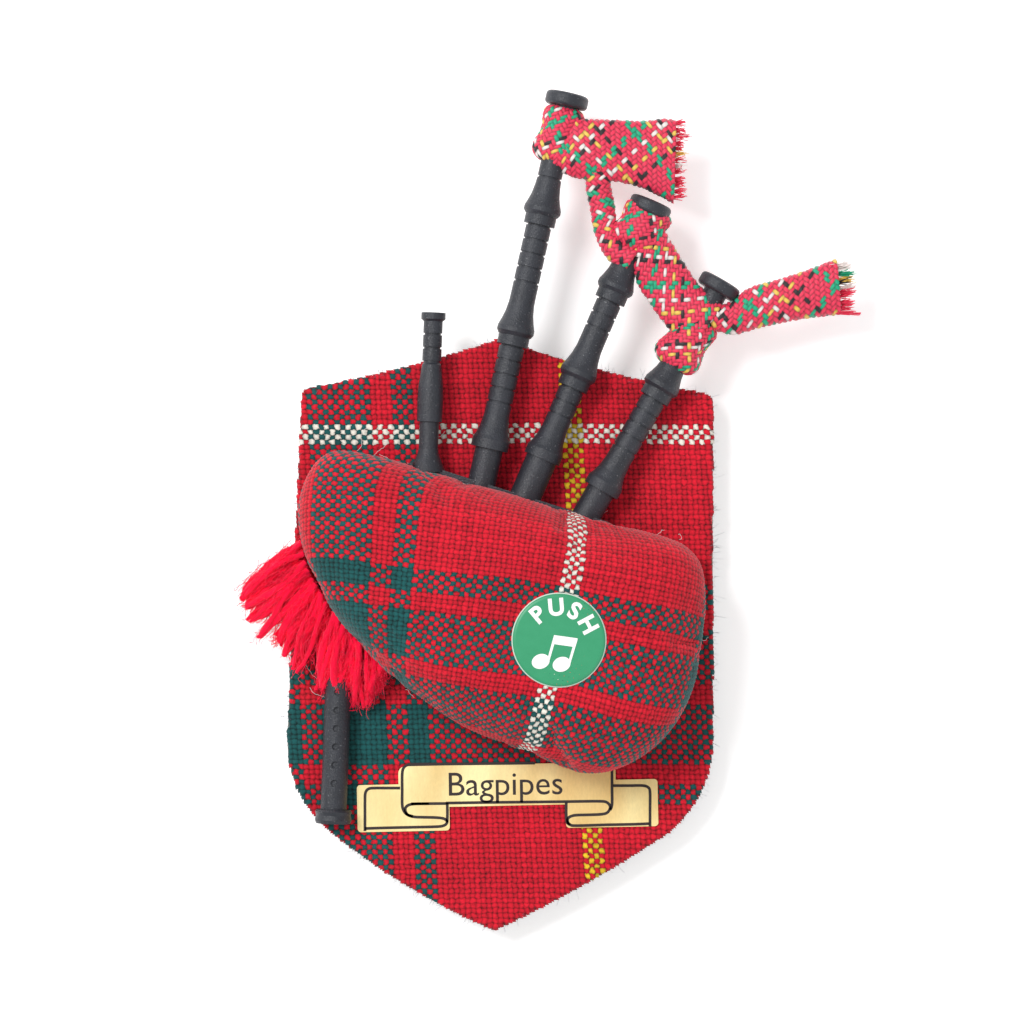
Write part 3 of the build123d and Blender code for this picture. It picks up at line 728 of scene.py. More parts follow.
def flat_of_seen(x, y):
    """Where on the flat cloth a point is that is seen from above at (x, y)."""
    x, y = x - bag_middle[0], y - bag_middle[1]
    angle, seen = np.arctan2(y, x), np.hypot(x, y)
    row = int((angle + pi) / (2 * pi) * len(profile_r)) % len(profile_r)
    over = int(np.argmax(profile_r[row]))
    share = np.interp(seen, profile_r[row][: over + 1], np.arange(over + 1) / (profile_steps - 1))
    distance = share * profile_length[row]
    return bag_middle + distance * np.array([np.cos(angle), np.sin(angle)])


# %% The lay of the cloth on the bag
# Under each thread's number are the places where that thread is seen, in millimetres.
warp_ties = {
    -0.5: [
        (10.8, 14.9), (11.0, 12.8), (10.8, 10.1), (10.4, 7.4), (9.8, 5.0), (6.9, -9.4), (6.2, -11.4),
        (5.5, -13.9), (4.1, -15.9),
    ],
    -30.5: [(-9.6, 21.5), (-10.4, 16.3), (-11.3, 12.8), (-11.5, 9.4), (-12.6, 0.9), (-12.6, -2.5)],
    -34.5: [(-12.8, 19.7), (-13.3, 16.3), (-13.7, 12.8), (-14.2, 9.4), (-15.4, 0.9)],
    -38.5: [(-15.9, 19.7), (-16.4, 16.3), (-16.9, 12.8), (-17.4, 9.4)],
    -50.5: [(-24.5, 19.7), (-24.8, 16.3), (-24.8, 12.8), (-25.2, 9.4)],
    29.5: [(26.1, -3.6), (25.8, -6.3)],
}
weft_ties = {
    20.5: [
        (-25.0, 8.0), (-11.3, 7.9), (-2.7, 6.7), (4.1, 5.4), (8.5, 4.6), (14.4, 3.7), (24.7, 1.9),
    ],
    16.5: [(-25.0, 5.8), (-11.3, 5.3), (0.7, 3.7), (14.4, 0.9), (24.7, -0.5)],
    12.5: [(-23.9, 3.9), (-16.4, 3.2), (-11.3, 2.9), (0.7, 1.2), (15.1, -1.8), (26.3, -3.2)],
    0.5: [(-18.2, -3.6), (-13.0, -3.9), (-6.1, -5.2), (2.4, -7.2), (14.4, -9.4), (22.9, -11.4)],
    -3.5: [(-13.0, -7.2), (-2.7, -9.4), (4.1, -10.6), (8.5, -11.4), (21.3, -14.1)],
    -15.5: [(-8.9, -11.4), (-2.7, -13.5), (2.4, -16.2)],
}
lay_middle = np.array([3.0, 2.0]) * mm
lay_scale = 25 * mm
lay_powers = [(a, b) for a in range(3) for b in range(3 - a)]  # of x and of y in a quadratic


def lay_terms(x, y):
    """The terms of the quadratic at a point of the flat cloth."""
    x, y = (x - lay_middle[0]) / lay_scale, (y - lay_middle[1]) / lay_scale
    return np.stack([x**a * y**b for a, b in lay_powers], -1)


def fit_lay(ties):
    """The quadratic that comes nearest to the ties, as a weight for each of its terms."""
    spots = [(count, x, y) for count, places in ties.items() for x, y in places]
    flat = np.array([flat_of_seen(x * mm, y * mm) for _, x, y in spots])
    counts = np.array([count for count, _, _ in spots])
    terms = lay_terms(flat[:, 0], flat[:, 1])
    # A light pull towards an even, straight weave keeps the parts without ties calm.
    pull = 0.02 * len(spots) * np.array([float(a + b > 1) for a, b in lay_powers])
    rows = np.concatenate([terms, np.diag(pull)])
    return np.linalg.lstsq(rows, np.concatenate([counts, np.zeros(len(pull))]), rcond=None)[0]


warp_lay, weft_lay = fit_lay(warp_ties), fit_lay(weft_ties)


def lay_cloth(u, v):
    """The flat place of a thread crossing, found by Newton's method from the fitted lay."""
    x, y = lay_middle[0] + u * thread_pitch, lay_middle[1] + v * thread_pitch
    nudge = 0.02 * mm
    longest_step = 8 * mm
    least_slope = 1e3  # keeps the method from leaping off where the lay is nearly flat

    def counts(x, y):
        terms = lay_terms(x, y)
        return terms @ warp_lay, terms @ weft_lay

    for _ in range(8):
        u_here, v_here = counts(x, y)
        u_right, v_right = counts(x + nudge, y)
        u_up, v_up = counts(x, y + nudge)
        u_x, u_y = (u_right - u_here) / nudge, (u_up - u_here) / nudge
        v_x, v_y = (v_right - v_here) / nudge, (v_up - v_here) / nudge
        slope = u_x * v_y - u_y * v_x
        slope = np.where(np.abs(slope) < least_slope, least_slope, slope)
        u_left, v_left = u - u_here, v - v_here
        x = x + np.clip((v_y * u_left - u_y * v_left) / slope, -longest_step, longest_step)
        y = y + np.clip((u_x * v_left - v_x * u_left) / slope, -longest_step, longest_step)
    return x, y


# %% [markdown]
# ## Letting the cloth settle
#
# A coarse copy of the cover is blown up with a little air while its rim is held, and the
# cloth solver finds where it creases. The copy is twenty times too big, because the solver
# likes garments better than millimetres. Only the difference that it makes is kept, as a field
# that the fine cloth reads.

# %% Cloth simulation of the cover
settle_step = 1.3 * mm
settle_reach = np.array([46, 40]) * mm
settle_scale = 20.0
settle_limit = 1.0 * mm
settle_frames = 20


def settle_cover():
    """Displacements of the coarse cover on a regular grid of the flat cloth."""
    xs = np.arange(-settle_reach[0], settle_reach[0] + settle_step, settle_step) + bag_middle[0]
    ys = np.arange(-settle_reach[1], settle_reach[1] + settle_step, settle_step) + bag_middle[1]
    gx, gy = np.meshgrid(xs, ys, indexing="ij")
    shape, share = on_bag(gx.ravel(), gy.ravel())
    quads, used = cut_grid((share < 0.99).reshape(gx.shape))
    rest = shape[used]
    body = new_object("settling", mesh_of("settling", rest * settle_scale, quads))
    faces_round = np.bincount(quads.ravel(), minlength=len(used))
    pinned = np.nonzero((faces_round < 4) | (share[used] > 0.93))[0]
    held = body.vertex_groups.new(name="held")
    held.add(pinned.tolist(), 1.0, "REPLACE")
    cloth = body.modifiers.new("cloth", "CLOTH").settings
    cloth.quality = 6
    cloth.mass = 0.25
    cloth.tension_stiffness = cloth.compression_stiffness = 12
    cloth.shear_stiffness = 4
    cloth.bending_stiffness = 0.6
    cloth.use_pressure = True
    cloth.uniform_pressure_force = 3.0
    cloth.shrink_min = -0.03
    cloth.vertex_group_mass = "held"
    cloth.effector_weights.gravity = 0
    for time in range(1, settle_frames + 1):
        scene.frame_set(time)
    graph = bpy.context.evaluated_depsgraph_get()
    ended = body.evaluated_get(graph).to_mesh()
    places = np.empty(len(rest) * 3, np.float32)
    ended.vertices.foreach_get("co", places)
    moved = places.reshape(-1, 3) / settle_scale - rest
    scene.frame_set(1)
    bpy.data.objects.remove(body)
    size = np.linalg.norm(moved, axis=1, keepdims=True)
    moved *= np.minimum(1, settle_limit / np.maximum(size, 1e-9))
    field = np.zeros((gx.size, 3))
    field[used] = moved
    print("cloth moved by up to", round(float(size.max()) / mm, 2), "mm")
    return field.reshape(*gx.shape, 3), xs[0], ys[0]


settled_field, settle_x, settle_y = settle_cover()


def smooth_step(low, high, value):
    """Rises from 0 at low to 1 at high, gently at both ends."""
    t = np.clip((value - low) / (high - low), 0, 1)
    return t * t * (3 - 2 * t)


def off_label(x, y, fade):
    """0 under the label, where the cloth lies smooth, rising to 1 over a distance round it."""
    away = np.hypot(x - label_middle[0], y - label_middle[1])
    return smooth_step(label_radius, label_radius + fade, away)


def settled(x, y):
    """The cloth solver's displacement at points of the flat cloth, faded out under the label."""
    if settled_field is None:
        return np.zeros((len(x), 3))
    fx, fy = (x - settle_x) / settle_step, (y - settle_y) / settle_step
    i = np.clip(np.floor(fx).astype(int), 0, settled_field.shape[0] - 2)
    j = np.clip(np.floor(fy).astype(int), 0, settled_field.shape[1] - 2)
    fx, fy = np.clip(fx - i, 0, 1)[:, None], np.clip(fy - j, 0, 1)[:, None]
    low = settled_field[i, j] * (1 - fy) + settled_field[i, j + 1] * fy
    high = settled_field[i + 1, j] * (1 - fy) + settled_field[i + 1, j + 1] * fy
    return (low * (1 - fx) + high * fx) * off_label(x, y, 5 * mm)[:, None]


# %% Cover of the bag
bag_crimp, bag_round = 0.17 * mm, 0.24 * mm


def bag_plan(u, v):
    """Where a count of threads lies on the flat cloth of the bag, a little unevenly."""
    x, y = lay_cloth(u, v)
    wander = 0.14 * mm
    x = x + wander * np.sin(y / (6 * mm) + 2.0) + 0.5 * wander * np.sin(x / (3.1 * mm) + y / (4 * mm))
    y = y + wander * np.sin(x / (5 * mm) + 0.5) + 0.5 * wander * np.sin(y / (2.7 * mm) - x / (6 * mm))
    return x, y


def place_bag(u, v):
    x, y = bag_plan(u, v)
    points, share = on_bag(x, y)
    points = points + settled(x, y)
    sag = 0.5 * mm * np.sin(x / (7.3 * mm) + 1.0) * np.sin(y / (6.1 * mm) + 0.4)
    points[:, 2] += sag * off_label(x, y, 8 * mm) * (1 - smooth_step(0.55, 0.9, share))
    points[:, 2] = np.clip(points[:, 2], bag_base + 0.3 * mm, None)
    return points


def inside_bag(u, v):
    x, y = bag_plan(u, v)
    return on_bag(x, y)[1] < 0.985


bag_floor = bag_base + 0.02 * mm
bag_mesh = woven_mesh("bag_cover_woven", (-68, 56), (-62, 56), place_bag, inside_bag, bag_floor)
bag = new_object("bag_cover_woven", bag_mesh, bag_cloth)
apply_tree(bag, plain_relief, Crimp=bag_crimp, Roundness=bag_round, Cloth=bag_cloth)
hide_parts("bag_cover", "press_patch")
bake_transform(bag)
print("bag cover triangles:", 2 * len(bag.data.polygons))


# %% [markdown]
# ## Strands
#
# Yarn, frayed lace ends, fuzz and stray hairs are all many thin strands. Each set starts as a
# mesh of bare edges, with a "thickness" on every point, and one Geometry Nodes tree gives all
# of them a round section and a little unevenness.


# %% A tree that thickens strands
def strand_tree():
    """Geometry Nodes that give bare edges a round, slightly lumpy section."""
    group = bpy.data.node_groups.new("strands", "GeometryNodeTree")
    sockets = {"Geometry": "Geometry", "Sides": "Int", "Lumps": "Float"}
    sockets.update({"Lumps per metre": "Float", "Fibre": "Material"})
    tree, given = interface(group, sockets)
    lines = tree.node("GeometryNodeMeshToCurve", {}, {"Mesh": given["Geometry"]})
    settings = {"data_type": "FLOAT"}
    thickness = tree.node("GeometryNodeInputNamedAttribute", settings, {"Name": "thickness"})
    inputs = {"Resolution": given["Sides"], "Radius": 1.0}
    ring = tree.node("GeometryNodeCurvePrimitiveCircle", {}, inputs)
    inputs = {"Curve": lines, "Profile Curve": ring, "Scale": thickness, "Fill Caps": True}
    tubes = tree.node("GeometryNodeCurveToMesh", {}, inputs)
    place = tree.node("GeometryNodeInputPosition")
    inputs = {"Vector": place, "Scale": given["Lumps per metre"], "Detail": 2.0}
    lumps = tree.node("ShaderNodeTexNoise", {}, inputs)
    normal = tree.node("GeometryNodeInputNormal")
    height = (lumps - 0.5) * given["Lumps"]
    offset = tree.node("ShaderNodeVectorMath", {"operation": "SCALE"}, {0: normal, "Scale": height})
    moved = tree.node("GeometryNodeSetPosition", {}, {"Geometry": tubes, "Offset": offset})
    smooth = tree.node("GeometryNodeSetShadeSmooth", {}, {"Geometry": moved})
    finish_tree(tree, smooth, given["Fibre"])
    return group


strands_group = strand_tree()


def strands(name, paths, thicknesses, paint, sides=6, lumps=0.0, lumps_per_metre=900.0, tints=None):
    """One piece of many strands. Each path is an array of points; thickness is a radius."""
    points = np.concatenate(paths)
    ends = np.cumsum([len(path) for path in paths])
    edges = [(n, n + 1) for end, path in zip(ends, paths) for n in range(end - len(path), end - 1)]
    mesh = bpy.data.meshes.new(name)
    mesh.from_pydata([tuple(p) for p in points], edges, [])
    add_attribute(mesh, "thickness", np.concatenate(thicknesses), "FLOAT")
    if tints is not None:
        add_attribute(mesh, "tint", np.repeat(tints, [len(path) for path in paths]), "FLOAT")
    piece = new_object(name, mesh)
    inputs = {"Sides": sides, "Lumps": lumps, "Lumps per metre": lumps_per_metre, "Fibre": paint}
    apply_tree(piece, strands_group, **inputs)
    return piece


def along(points, share):
    """A point of a polyline at each share of its length."""
    points = np.asarray(points, float)
    length = np.concatenate([[0], np.cumsum(np.linalg.norm(np.diff(points, axis=0), axis=1))])
    wanted = np.asarray(share) * length[-1]
    return np.stack([np.interp(wanted, length, points[:, axis]) for axis in range(points.shape[1])], -1)


def taper(count, middle, tip, root=1.0):
    """Radii along a strand: root and tip are shares of the middle radius."""
    t = np.linspace(0, 1, count)
    return middle * np.interp(t, [0, 0.15, 0.7, 1], [root, 1, 1, tip])


# %% [markdown]
# ## The yarn tassel
#
# Soft scarlet yarns come out from under the bag and fan out. They end in clumps, some long and
# thin and some full, and a cloud of much finer fibres makes their edge soft.

# %% Yarn tassel
yarn_paint, tree, shader = material("yarn")
fine = object_noise(tree, 2600.0, 4.0, 0.65)
broad = object_noise(tree, 420.0, 2.0)
light = (0.66 + broad * 0.34 + fine * 0.5).at_most(1.5)
scarlet = linear(250, 18, 62)
tree.plug(shader.inputs["Base Color"], tree.lit(scarlet, light))
shader.inputs["Roughness"].default_value = 0.95
shader.inputs["Specular IOR Level"].default_value = 0.1
shader.inputs["Sheen Weight"].default_value = 0.55
shader.inputs["Sheen Roughness"].default_value = 0.5
shader.inputs["Sheen Tint"].default_value = (1.0, 0.25, 0.35, 1.0)
bumped(tree, shader, fine, 0.16 * mm, 0.8)

tassel_roots = np.array([
    (-27.7, 10.9), (-26.7, 7.2), (-24.8, 3.7), (-23.0, 1.4), (-21.1, -1.1), (-19.3, -3.0),
    (-17.4, -4.6), (-16.0, -5.8),
]) * mm
# Each clump is the x and y of its tip in millimetres, how far its tips spread, and its yarns.
tassel_clumps = [
    (-35.7, 4.2, 0.51, 9), (-35.7, 3.3, 0.46, 8), (-35.4, 2.1, 0.58, 8), (-34.5, 0.4, 0.7, 9),
    (-33.8, -2.3, 0.19, 4), (-30.8, -2.6, 0.65, 10), (-30.1, -4.8, 0.23, 3), (-28.3, -5.8, 1.16, 16),
    (-24.8, -8.7, 0.98, 15), (-22.5, -10.4, 1.11, 16), (-20.4, -11.5, 1.04, 15),
    (-18.7, -11.2, 0.58, 8), (-17.1, -9.5, 0.33, 5), (-16.4, -8.0, 0.28, 4),
]
tassel_low, tassel_high = 6.5 * mm, 10.6 * mm
tassel_floor = 6.2 * mm
yarn_points, fibre_points = 14, 7
fibres_per_yarn = 38
dice = np.random.default_rng(11)


def yarn_path(root, tip, low, high):
    """A yarn that lifts a little over the edge of the shield and then settles to its tip."""
    t = np.linspace(0, 1, yarn_points)[:, None]
    across = np.array([tip[1] - root[1], root[0] - tip[0]])
    flat = root * (1 - t) + tip * t
    flat = flat + across * np.sin(pi * t) * dice.normal(0, 0.05)
    flat = flat + across * np.sin(2 * pi * t) * dice.normal(0, 0.02)
    height = high + (low - high) * t[:, 0] ** 1.4 + 0.7 * mm * np.sin(pi * t[:, 0])
    return np.concatenate([flat, height[:, None]], 1)


def loose_fibre(path):
    """A fine fibre that follows part of a yarn at a little distance, curling as it goes."""
    start = dice.uniform(0.05, 1.06, 2).min()
    end = min(start + dice.uniform(0.12, 0.35), 1.1)
    t = np.linspace(start, end, fibre_points)
    fibre = along(path, np.clip(t, 0, 1))
    # Past the yarn's tip the fibre goes on the way that the yarn was going.
    fibre += (t - np.clip(t, 0, 1))[:, None] * (path[-1] - path[-3]) * 3
    offset = dice.normal(0, 0.5, 3) * mm
    curl = dice.normal(0, 0.34, 3) * mm
    bend = np.linspace(-1, 1, fibre_points)[:, None]
    fibre = fibre + offset + curl * bend**2 + dice.normal(0, 0.2, 3) * mm * bend**3
    fibre[:, 2] = np.maximum(fibre[:, 2], tassel_floor)
    return fibre


yarns, yarn_radii, fibres, fibre_radii = [], [], [], []
total = sum(clump[3] for clump in tassel_clumps)
done = 0
for tip_x, tip_y, spread, count in tassel_clumps:
    for _ in range(count):
        share = np.clip((done + 0.5) / total + dice.normal(0, 0.025), 0, 1)
        root = along(tassel_roots, share)
        tip = np.array([tip_x, tip_y]) * mm + dice.normal(0, spread, 2) * mm * 0.5
        layer = dice.uniform(0, 1)
        low = tassel_low + layer * 1.6 * mm
        high = tassel_low + (0.3 + 0.7 * layer) * (tassel_high - tassel_low)
        yarns.append(yarn_path(root, tip, low, high))
        yarn_radii.append(taper(yarn_points, dice.uniform(0.34, 0.55) * mm, 0.6))
        for _ in range(fibres_per_yarn):
            fibres.append(loose_fibre(yarns[-1]))
            fibre_radii.append(np.full(fibre_points, dice.uniform(0.022, 0.05) * mm))
    done += count
tassel = strands(
    "tassel_yarns", yarns, yarn_radii, yarn_paint, sides=8, lumps=0.8 * mm, lumps_per_metre=1700.0
)
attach(tassel, "root")
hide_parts("yarn_tassel")
tassel_fuzz = strands("tassel_fuzz", fibres, fibre_radii, yarn_paint, sides=3)
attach(tassel_fuzz, "root")
print("yarns:", len(yarns), "fibres:", len(fibres))


# %% [markdown]
# ## The braided lace
#
# One flat lace is wound round the necks of the three drones and spans the gaps between them.
# It is a diagonal braid in which every strand goes over two and under two. A strip is laid
# between a left and a right edge, and a winding goes round a drone's axis; both carry the
# strand counts that the relief and the colours need.

# %% Braid material
braid_pitch = 0.52 * mm
braid_width = 0.92  # a strand's width as a share of the pitch
pink = linear(236, 46, 84)
braid_green = linear(0, 168, 124)
braid_yellow = linear(236, 196, 84)
braid_white = linear(236, 226, 222)
braid_black = linear(34, 26, 30)
braid_order = [
    (pink, 3), (braid_green, 2), (pink, 3), (braid_yellow, 1), (pink, 1), (braid_white, 1),
    (braid_black, 1), (pink, 4), (braid_green, 2), (pink, 2), (braid_white, 1), (pink, 2),
    (braid_yellow, 1), (pink, 2), (braid_black, 1), (pink, 3),
]
braid_paint, tree, shader = material("lace")
threads = tree.node("ShaderNodeAttribute", {"attribute_name": "threads"}, output="Vector")
u, v, _ = tree.split(threads)
high_v, high_u, i, j = woven_heights(u, v, 2, 0.5, 0.5, braid_width)
on_top = high_v > high_u
along_u = thread_colour(tree, j, 13, braid_order)
along_v = thread_colour(tree, i, 4, braid_order)
# Painted sheen: the sheen lines lighten the colour along each strand, and they also make its bump.
# Painted shade darkens the gaps between the strands.
sheen_lines = tree.mix_numbers(on_top, streaks(tree, u, v, 1.2, 11.0), streaks(tree, u, v, 11.0, 1.2))
gap = (0.92 - high_v.math("MAXIMUM", high_u)).at_least(0.0)
light = 0.78 + sheen_lines * 0.5 - gap
tree.plug(shader.inputs["Base Color"], tree.lit(tree.mix(on_top, along_u, along_v), light))
shader.inputs["Roughness"].default_value = 0.5
shader.inputs["Sheen Weight"].default_value = 0.2
bumped(tree, shader, sheen_lines, 0.08 * mm, 0.5)


# %% Strips and windings
braid_step = 0.12 * mm  # between the mesh points of a lace
root_two = 2**0.5  # a diagonal braid's strands cross its length at 45 degrees
winding_height = 8.9 * mm
winding_floor = 6.15 * mm


def smooth_line(points, count):
    """A smooth open curve through points, at even steps of length."""
    p = np.asarray(points, float)
    p = np.concatenate([[2 * p[0] - p[1]], p, [2 * p[-1] - p[-2]]])
    t = np.linspace(0, 1, 16, endpoint=False)[None, :, None]
    a, b, c, d = (p[n : len(p) - 3 + n][:, None] for n in range(4))
    curve = 0.5 * (
        2 * b + (c - a) * t + (2 * a - 5 * b + 4 * c - d) * t**2 + (3 * b - a - 3 * c + d) * t**3
    )
    curve = np.concatenate([curve.reshape(-1, p.shape[1]), p[-2:-1]])
    return along(curve, np.linspace(0, 1, count))


def strip(left, right, heights, thick, start, tuck):
    """A lace strip between two edges, as rings of points and their strand counts.

    heights are those of its middle along its length, and tuck is how far it bows up across.
    """
    length = np.linalg.norm(np.diff(np.asarray(left), axis=0), axis=1).sum() * mm
    width = np.linalg.norm(np.asarray(left[0], float) - np.asarray(right[0], float)) * mm
    rows, columns = int(length / braid_step) + 2, int(width / braid_step) + 2
    a, b = smooth_line(np.array(left) * mm, rows), smooth_line(np.array(right) * mm, rows)
    t = np.linspace(0, 1, rows)
    middle_z = np.interp(t, np.linspace(0, 1, len(heights)), np.array(heights) * mm)
    across = np.linspace(-1, 1, columns)
    flat = a[:, None] * (1 - across[None, :, None]) / 2 + b[:, None] * (1 + across[None, :, None]) / 2
    crown = thick / 2 * np.clip(1 - np.abs(across) ** 3, 0, 1) ** 0.5
    bow = tuck * (1 - across**2)
    along_lace = (t * length)[:, None]
    across_lace = across[None] * np.linalg.norm(a - b, axis=1)[:, None] / 2
    u = (along_lace + across_lace) / braid_pitch / root_two + start
    v = (along_lace - across_lace) / braid_pitch / root_two - start
    top = np.concatenate([flat, (middle_z[:, None] + crown[None] + bow[None])[..., None]], -1)
    low = np.concatenate([flat, (middle_z[:, None] - crown[None] + bow[None])[..., None]], -1)
    threads = np.stack([u, v, np.zeros_like(u)], -1)
    rings = np.concatenate([top, low[:, -2:0:-1]], 1)
    return rings, np.concatenate([threads, threads[:, -2:0:-1]], 1)


def winding(root, lean, low, high, radius, start, swell=0.12):
    """A lace wound round an axis, as a sleeve that draws in at its ends."""
    rows, columns = int((high - low) * mm / braid_step) + 2, int(2 * pi * radius * mm / braid_step)
    axis = np.array([sin(radians(lean)), cos(radians(lean))])
    side = np.array([axis[1], -axis[0]])
    t = np.linspace(0, 1, rows)[:, None]
    turn = np.linspace(0, 2 * pi, columns, endpoint=False)[None]
    size = radius * mm * (1 - 0.34 * np.abs(2 * t - 1) ** 7 + swell * np.sin(pi * t * 2 + 0.6) * 0.5)
    size = size * (1 + 0.05 * np.sin(turn * 2 + t * 9) + 0.04 * np.sin(turn * 3 - t * 6))
    station = (low + (high - low) * t + 0.6 * np.sin(turn) * (1 - np.abs(2 * t - 1))) * mm
    flat = np.array(root) * mm + station[..., None] * axis + (size * np.cos(turn))[..., None] * side
    z = np.maximum(winding_height + size * 0.8 * np.sin(turn), winding_floor)
    rings = np.concatenate([flat, z[..., None]], -1)
    # The winding lies askew, so that its braid runs across the drone. The strands don't meet
    # exactly where it closes, which is at its side and hardly seen.
    whole_turn = braid_pitch * round(2 * pi * radius * mm / braid_pitch)
    u = (station * 0.35 + turn / (2 * pi) * whole_turn) / braid_pitch + start
    v = (station * 1.05) / braid_pitch - turn / (2 * pi) * 6 + start
    return rings, np.stack([u + v, u - v, np.zeros_like(u)], -1) / root_two


def closed_tube(parts, name, paint):
    """One piece from parts that are rows of rings. A fan closes each part at both ends."""
    points, threads, faces = [], [], []
    base = 0
    for rings, ring_threads in parts:
        rows, columns = rings.shape[:2]
        points += [rings.reshape(-1, 3), rings[[0, -1]].mean(1)]
        threads += [ring_threads.reshape(-1, 3), np.array([[0, 0, 1.0], [0, 0, 1.0]])]
        number = base + np.arange(rows * columns).reshape(rows, columns)
        after = np.roll(number, -1, 1)
        faces += np.stack([number[:-1], after[:-1], after[1:], number[1:]], -1).reshape(-1, 4).tolist()
        first = base + rows * columns
        faces += [(after[0, n], number[0, n], first) for n in range(columns)]
        faces += [(number[-1, n], after[-1, n], first + 1) for n in range(columns)]
        base = first + 2
    mesh = mesh_of(name, np.concatenate(points), faces)
    add_attribute(mesh, "threads", np.concatenate(threads))
    face_outwards(mesh)
    return new_object(name, mesh, paint)


# %% Lace
# Edges are in millimetres, seen from above, and heights are those of the strip's middle.
bass_tail = (
    [(7.8, 67.2), (9.8, 69.7), (11.7, 69.8), (16.2, 69.7), (20.1, 69.6), (22.3, 69.9), (24.4, 69.8)],
    [(7.5, 63.3), (10.0, 62.1), (11.7, 61.8), (15.3, 61.6), (19.2, 60.8), (22.0, 59.6), (24.1, 58.5)],
)
bass_fold = (
    [(12.3, 63.3), (12.1, 60.7), (12.7, 57.7), (13.3, 54.3), (14.8, 51.0), (17.3, 48.8)],
    [(15.2, 63.3), (15.3, 60.7), (15.8, 58.2), (16.2, 54.9), (17.0, 53.2), (19.5, 52.1)],
)
middle_span = (
    [(18.4, 51.0), (19.2, 47.4), (20.9, 44.6), (22.9, 41.8), (25.1, 39.3), (26.2, 37.6)],
    [(22.0, 56.0), (23.7, 52.9), (25.7, 49.6), (27.6, 46.8), (29.3, 45.4), (30.7, 44.0)],
)
outer_tail = (
    [(29.6, 43.5), (31.8, 44.3), (34.9, 46.4), (39.0, 47.6), (43.2, 49.0), (46.8, 50.4)],
    [(28.7, 41.2), (31.0, 40.4), (32.9, 40.2), (36.5, 41.2), (41.8, 42.3), (47.4, 43.0)],
)
parts = [
    strip(*bass_tail, heights=(9.6, 9.9, 9.3, 9.0), thick=1.5 * mm, start=0.0, tuck=0.5 * mm),
    strip(*bass_fold, heights=(9.4, 9.0, 9.2, 9.8), thick=1.5 * mm, start=3.0, tuck=0.5 * mm),
    strip(*middle_span, heights=(9.9, 9.3, 9.4, 9.8), thick=1.3 * mm, start=7.0, tuck=0.6 * mm),
    strip(*outer_tail, heights=(9.4, 9.4, 9.0, 8.7), thick=1.2 * mm, start=5.0, tuck=0.6 * mm),
]
# Each winding is a drone's root, its lean, the stations where it starts and ends, and a radius.
windings = [
    ((-2.47, 19.72), 12.55, 45.6, 53.0, 2.75),
    ((4.03, 18.59), 23.3, 36.6, 42.6, 3.3),
    ((11.81, 14.42), 30.07, 24.5, 32.0, 2.95),
]
parts += [winding(*place, start=3.0 * n) for n, place in enumerate(windings)]
lace = closed_tube(parts, "drone_lace_braid", braid_paint)
braid_relief = relief_tree(2, braid_width)
apply_tree(lace, braid_relief, Crimp=0.11 * mm, Roundness=0.16 * mm, Cloth=braid_paint)
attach(lace, "root")
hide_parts("drone_lace")

# %% Frayed ends of the lace
fray_paint, tree, shader = material("lace_fray")
tint = tree.node("ShaderNodeAttribute", {"attribute_name": "tint"}, output="Fac")
fray_order = [
    (pink, 2), (braid_green, 1), (pink, 1), (braid_white, 1), (pink, 2), (braid_yellow, 1),
    (pink, 1), (braid_black, 1),
]
tree.plug(shader.inputs["Base Color"], colour_runs(tree, tint, fray_order))
shader.inputs["Roughness"].default_value = 0.5
fibres_per_bundle = 26
dice = np.random.default_rng(23)


def fray(left, right, outward, count, reach, height):
    """Loose fibres that leave the cut end of a strip, in bundles of one colour."""
    paths, radii, tints = [], [], []
    for n in range(count):
        share = (n + 0.5) / count
        root = (np.array(left) * (1 - share) + np.array(right) * share) * mm
        heading = np.array(outward) + dice.normal(0, 0.12, 2)
        tint = dice.uniform(0, 1)
        for _ in range(fibres_per_bundle):
            t = np.linspace(-0.35, 1, fibre_points)[:, None]
            length = reach * dice.uniform(0.6, 1.1)
            spread = dice.normal(0, 0.16, 2) * mm
            flat = root + spread * (0.7 + t) + heading * length * t
            flat = flat + dice.normal(0, 0.13, 2) * mm * np.clip(t, 0, 1) ** 2
            z = height + dice.normal(0, 0.22) * mm + dice.normal(0.0, 0.4) * mm * t**2
            paths.append(np.concatenate([flat, z], 1))
            radii.append(np.full(fibre_points, dice.uniform(0.035, 0.06) * mm))
            tints.append(tint)
    return paths, radii, tints


fray_paths, fray_radii, fray_tints = [], [], []
# Each frayed end is its left and right corner, its heading, its bundles, their length and height.
frays = [
    ((24.1, 69.8), (23.9, 58.7), (1.0, 0.05), 13, 1.5 * mm, 9.1 * mm),
    ((46.3, 50.0), (46.8, 42.8), (1.0, 0.18), 11, 2.4 * mm, 8.8 * mm),
]
for frayed_end in frays:
    paths, radii, tints = fray(*frayed_end)
    fray_paths += paths
    fray_radii += radii
    fray_tints += tints
lace_fray = strands("drone_lace_fray", fray_paths, fray_radii, fray_paint, sides=4, tints=fray_tints)
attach(lace_fray, "root")
lace_surface = sum(face.area for face in lace.data.polygons)
print("lace surface in square mm:", round(lace_surface / mm**2))


# %% [markdown]
# ## The name scroll
#
# The foil is gold paper, so it has a paper's fine grain under a soft metal shine. Its frame and
# its folded ends are printed lines. The name on it is simply what the object is.

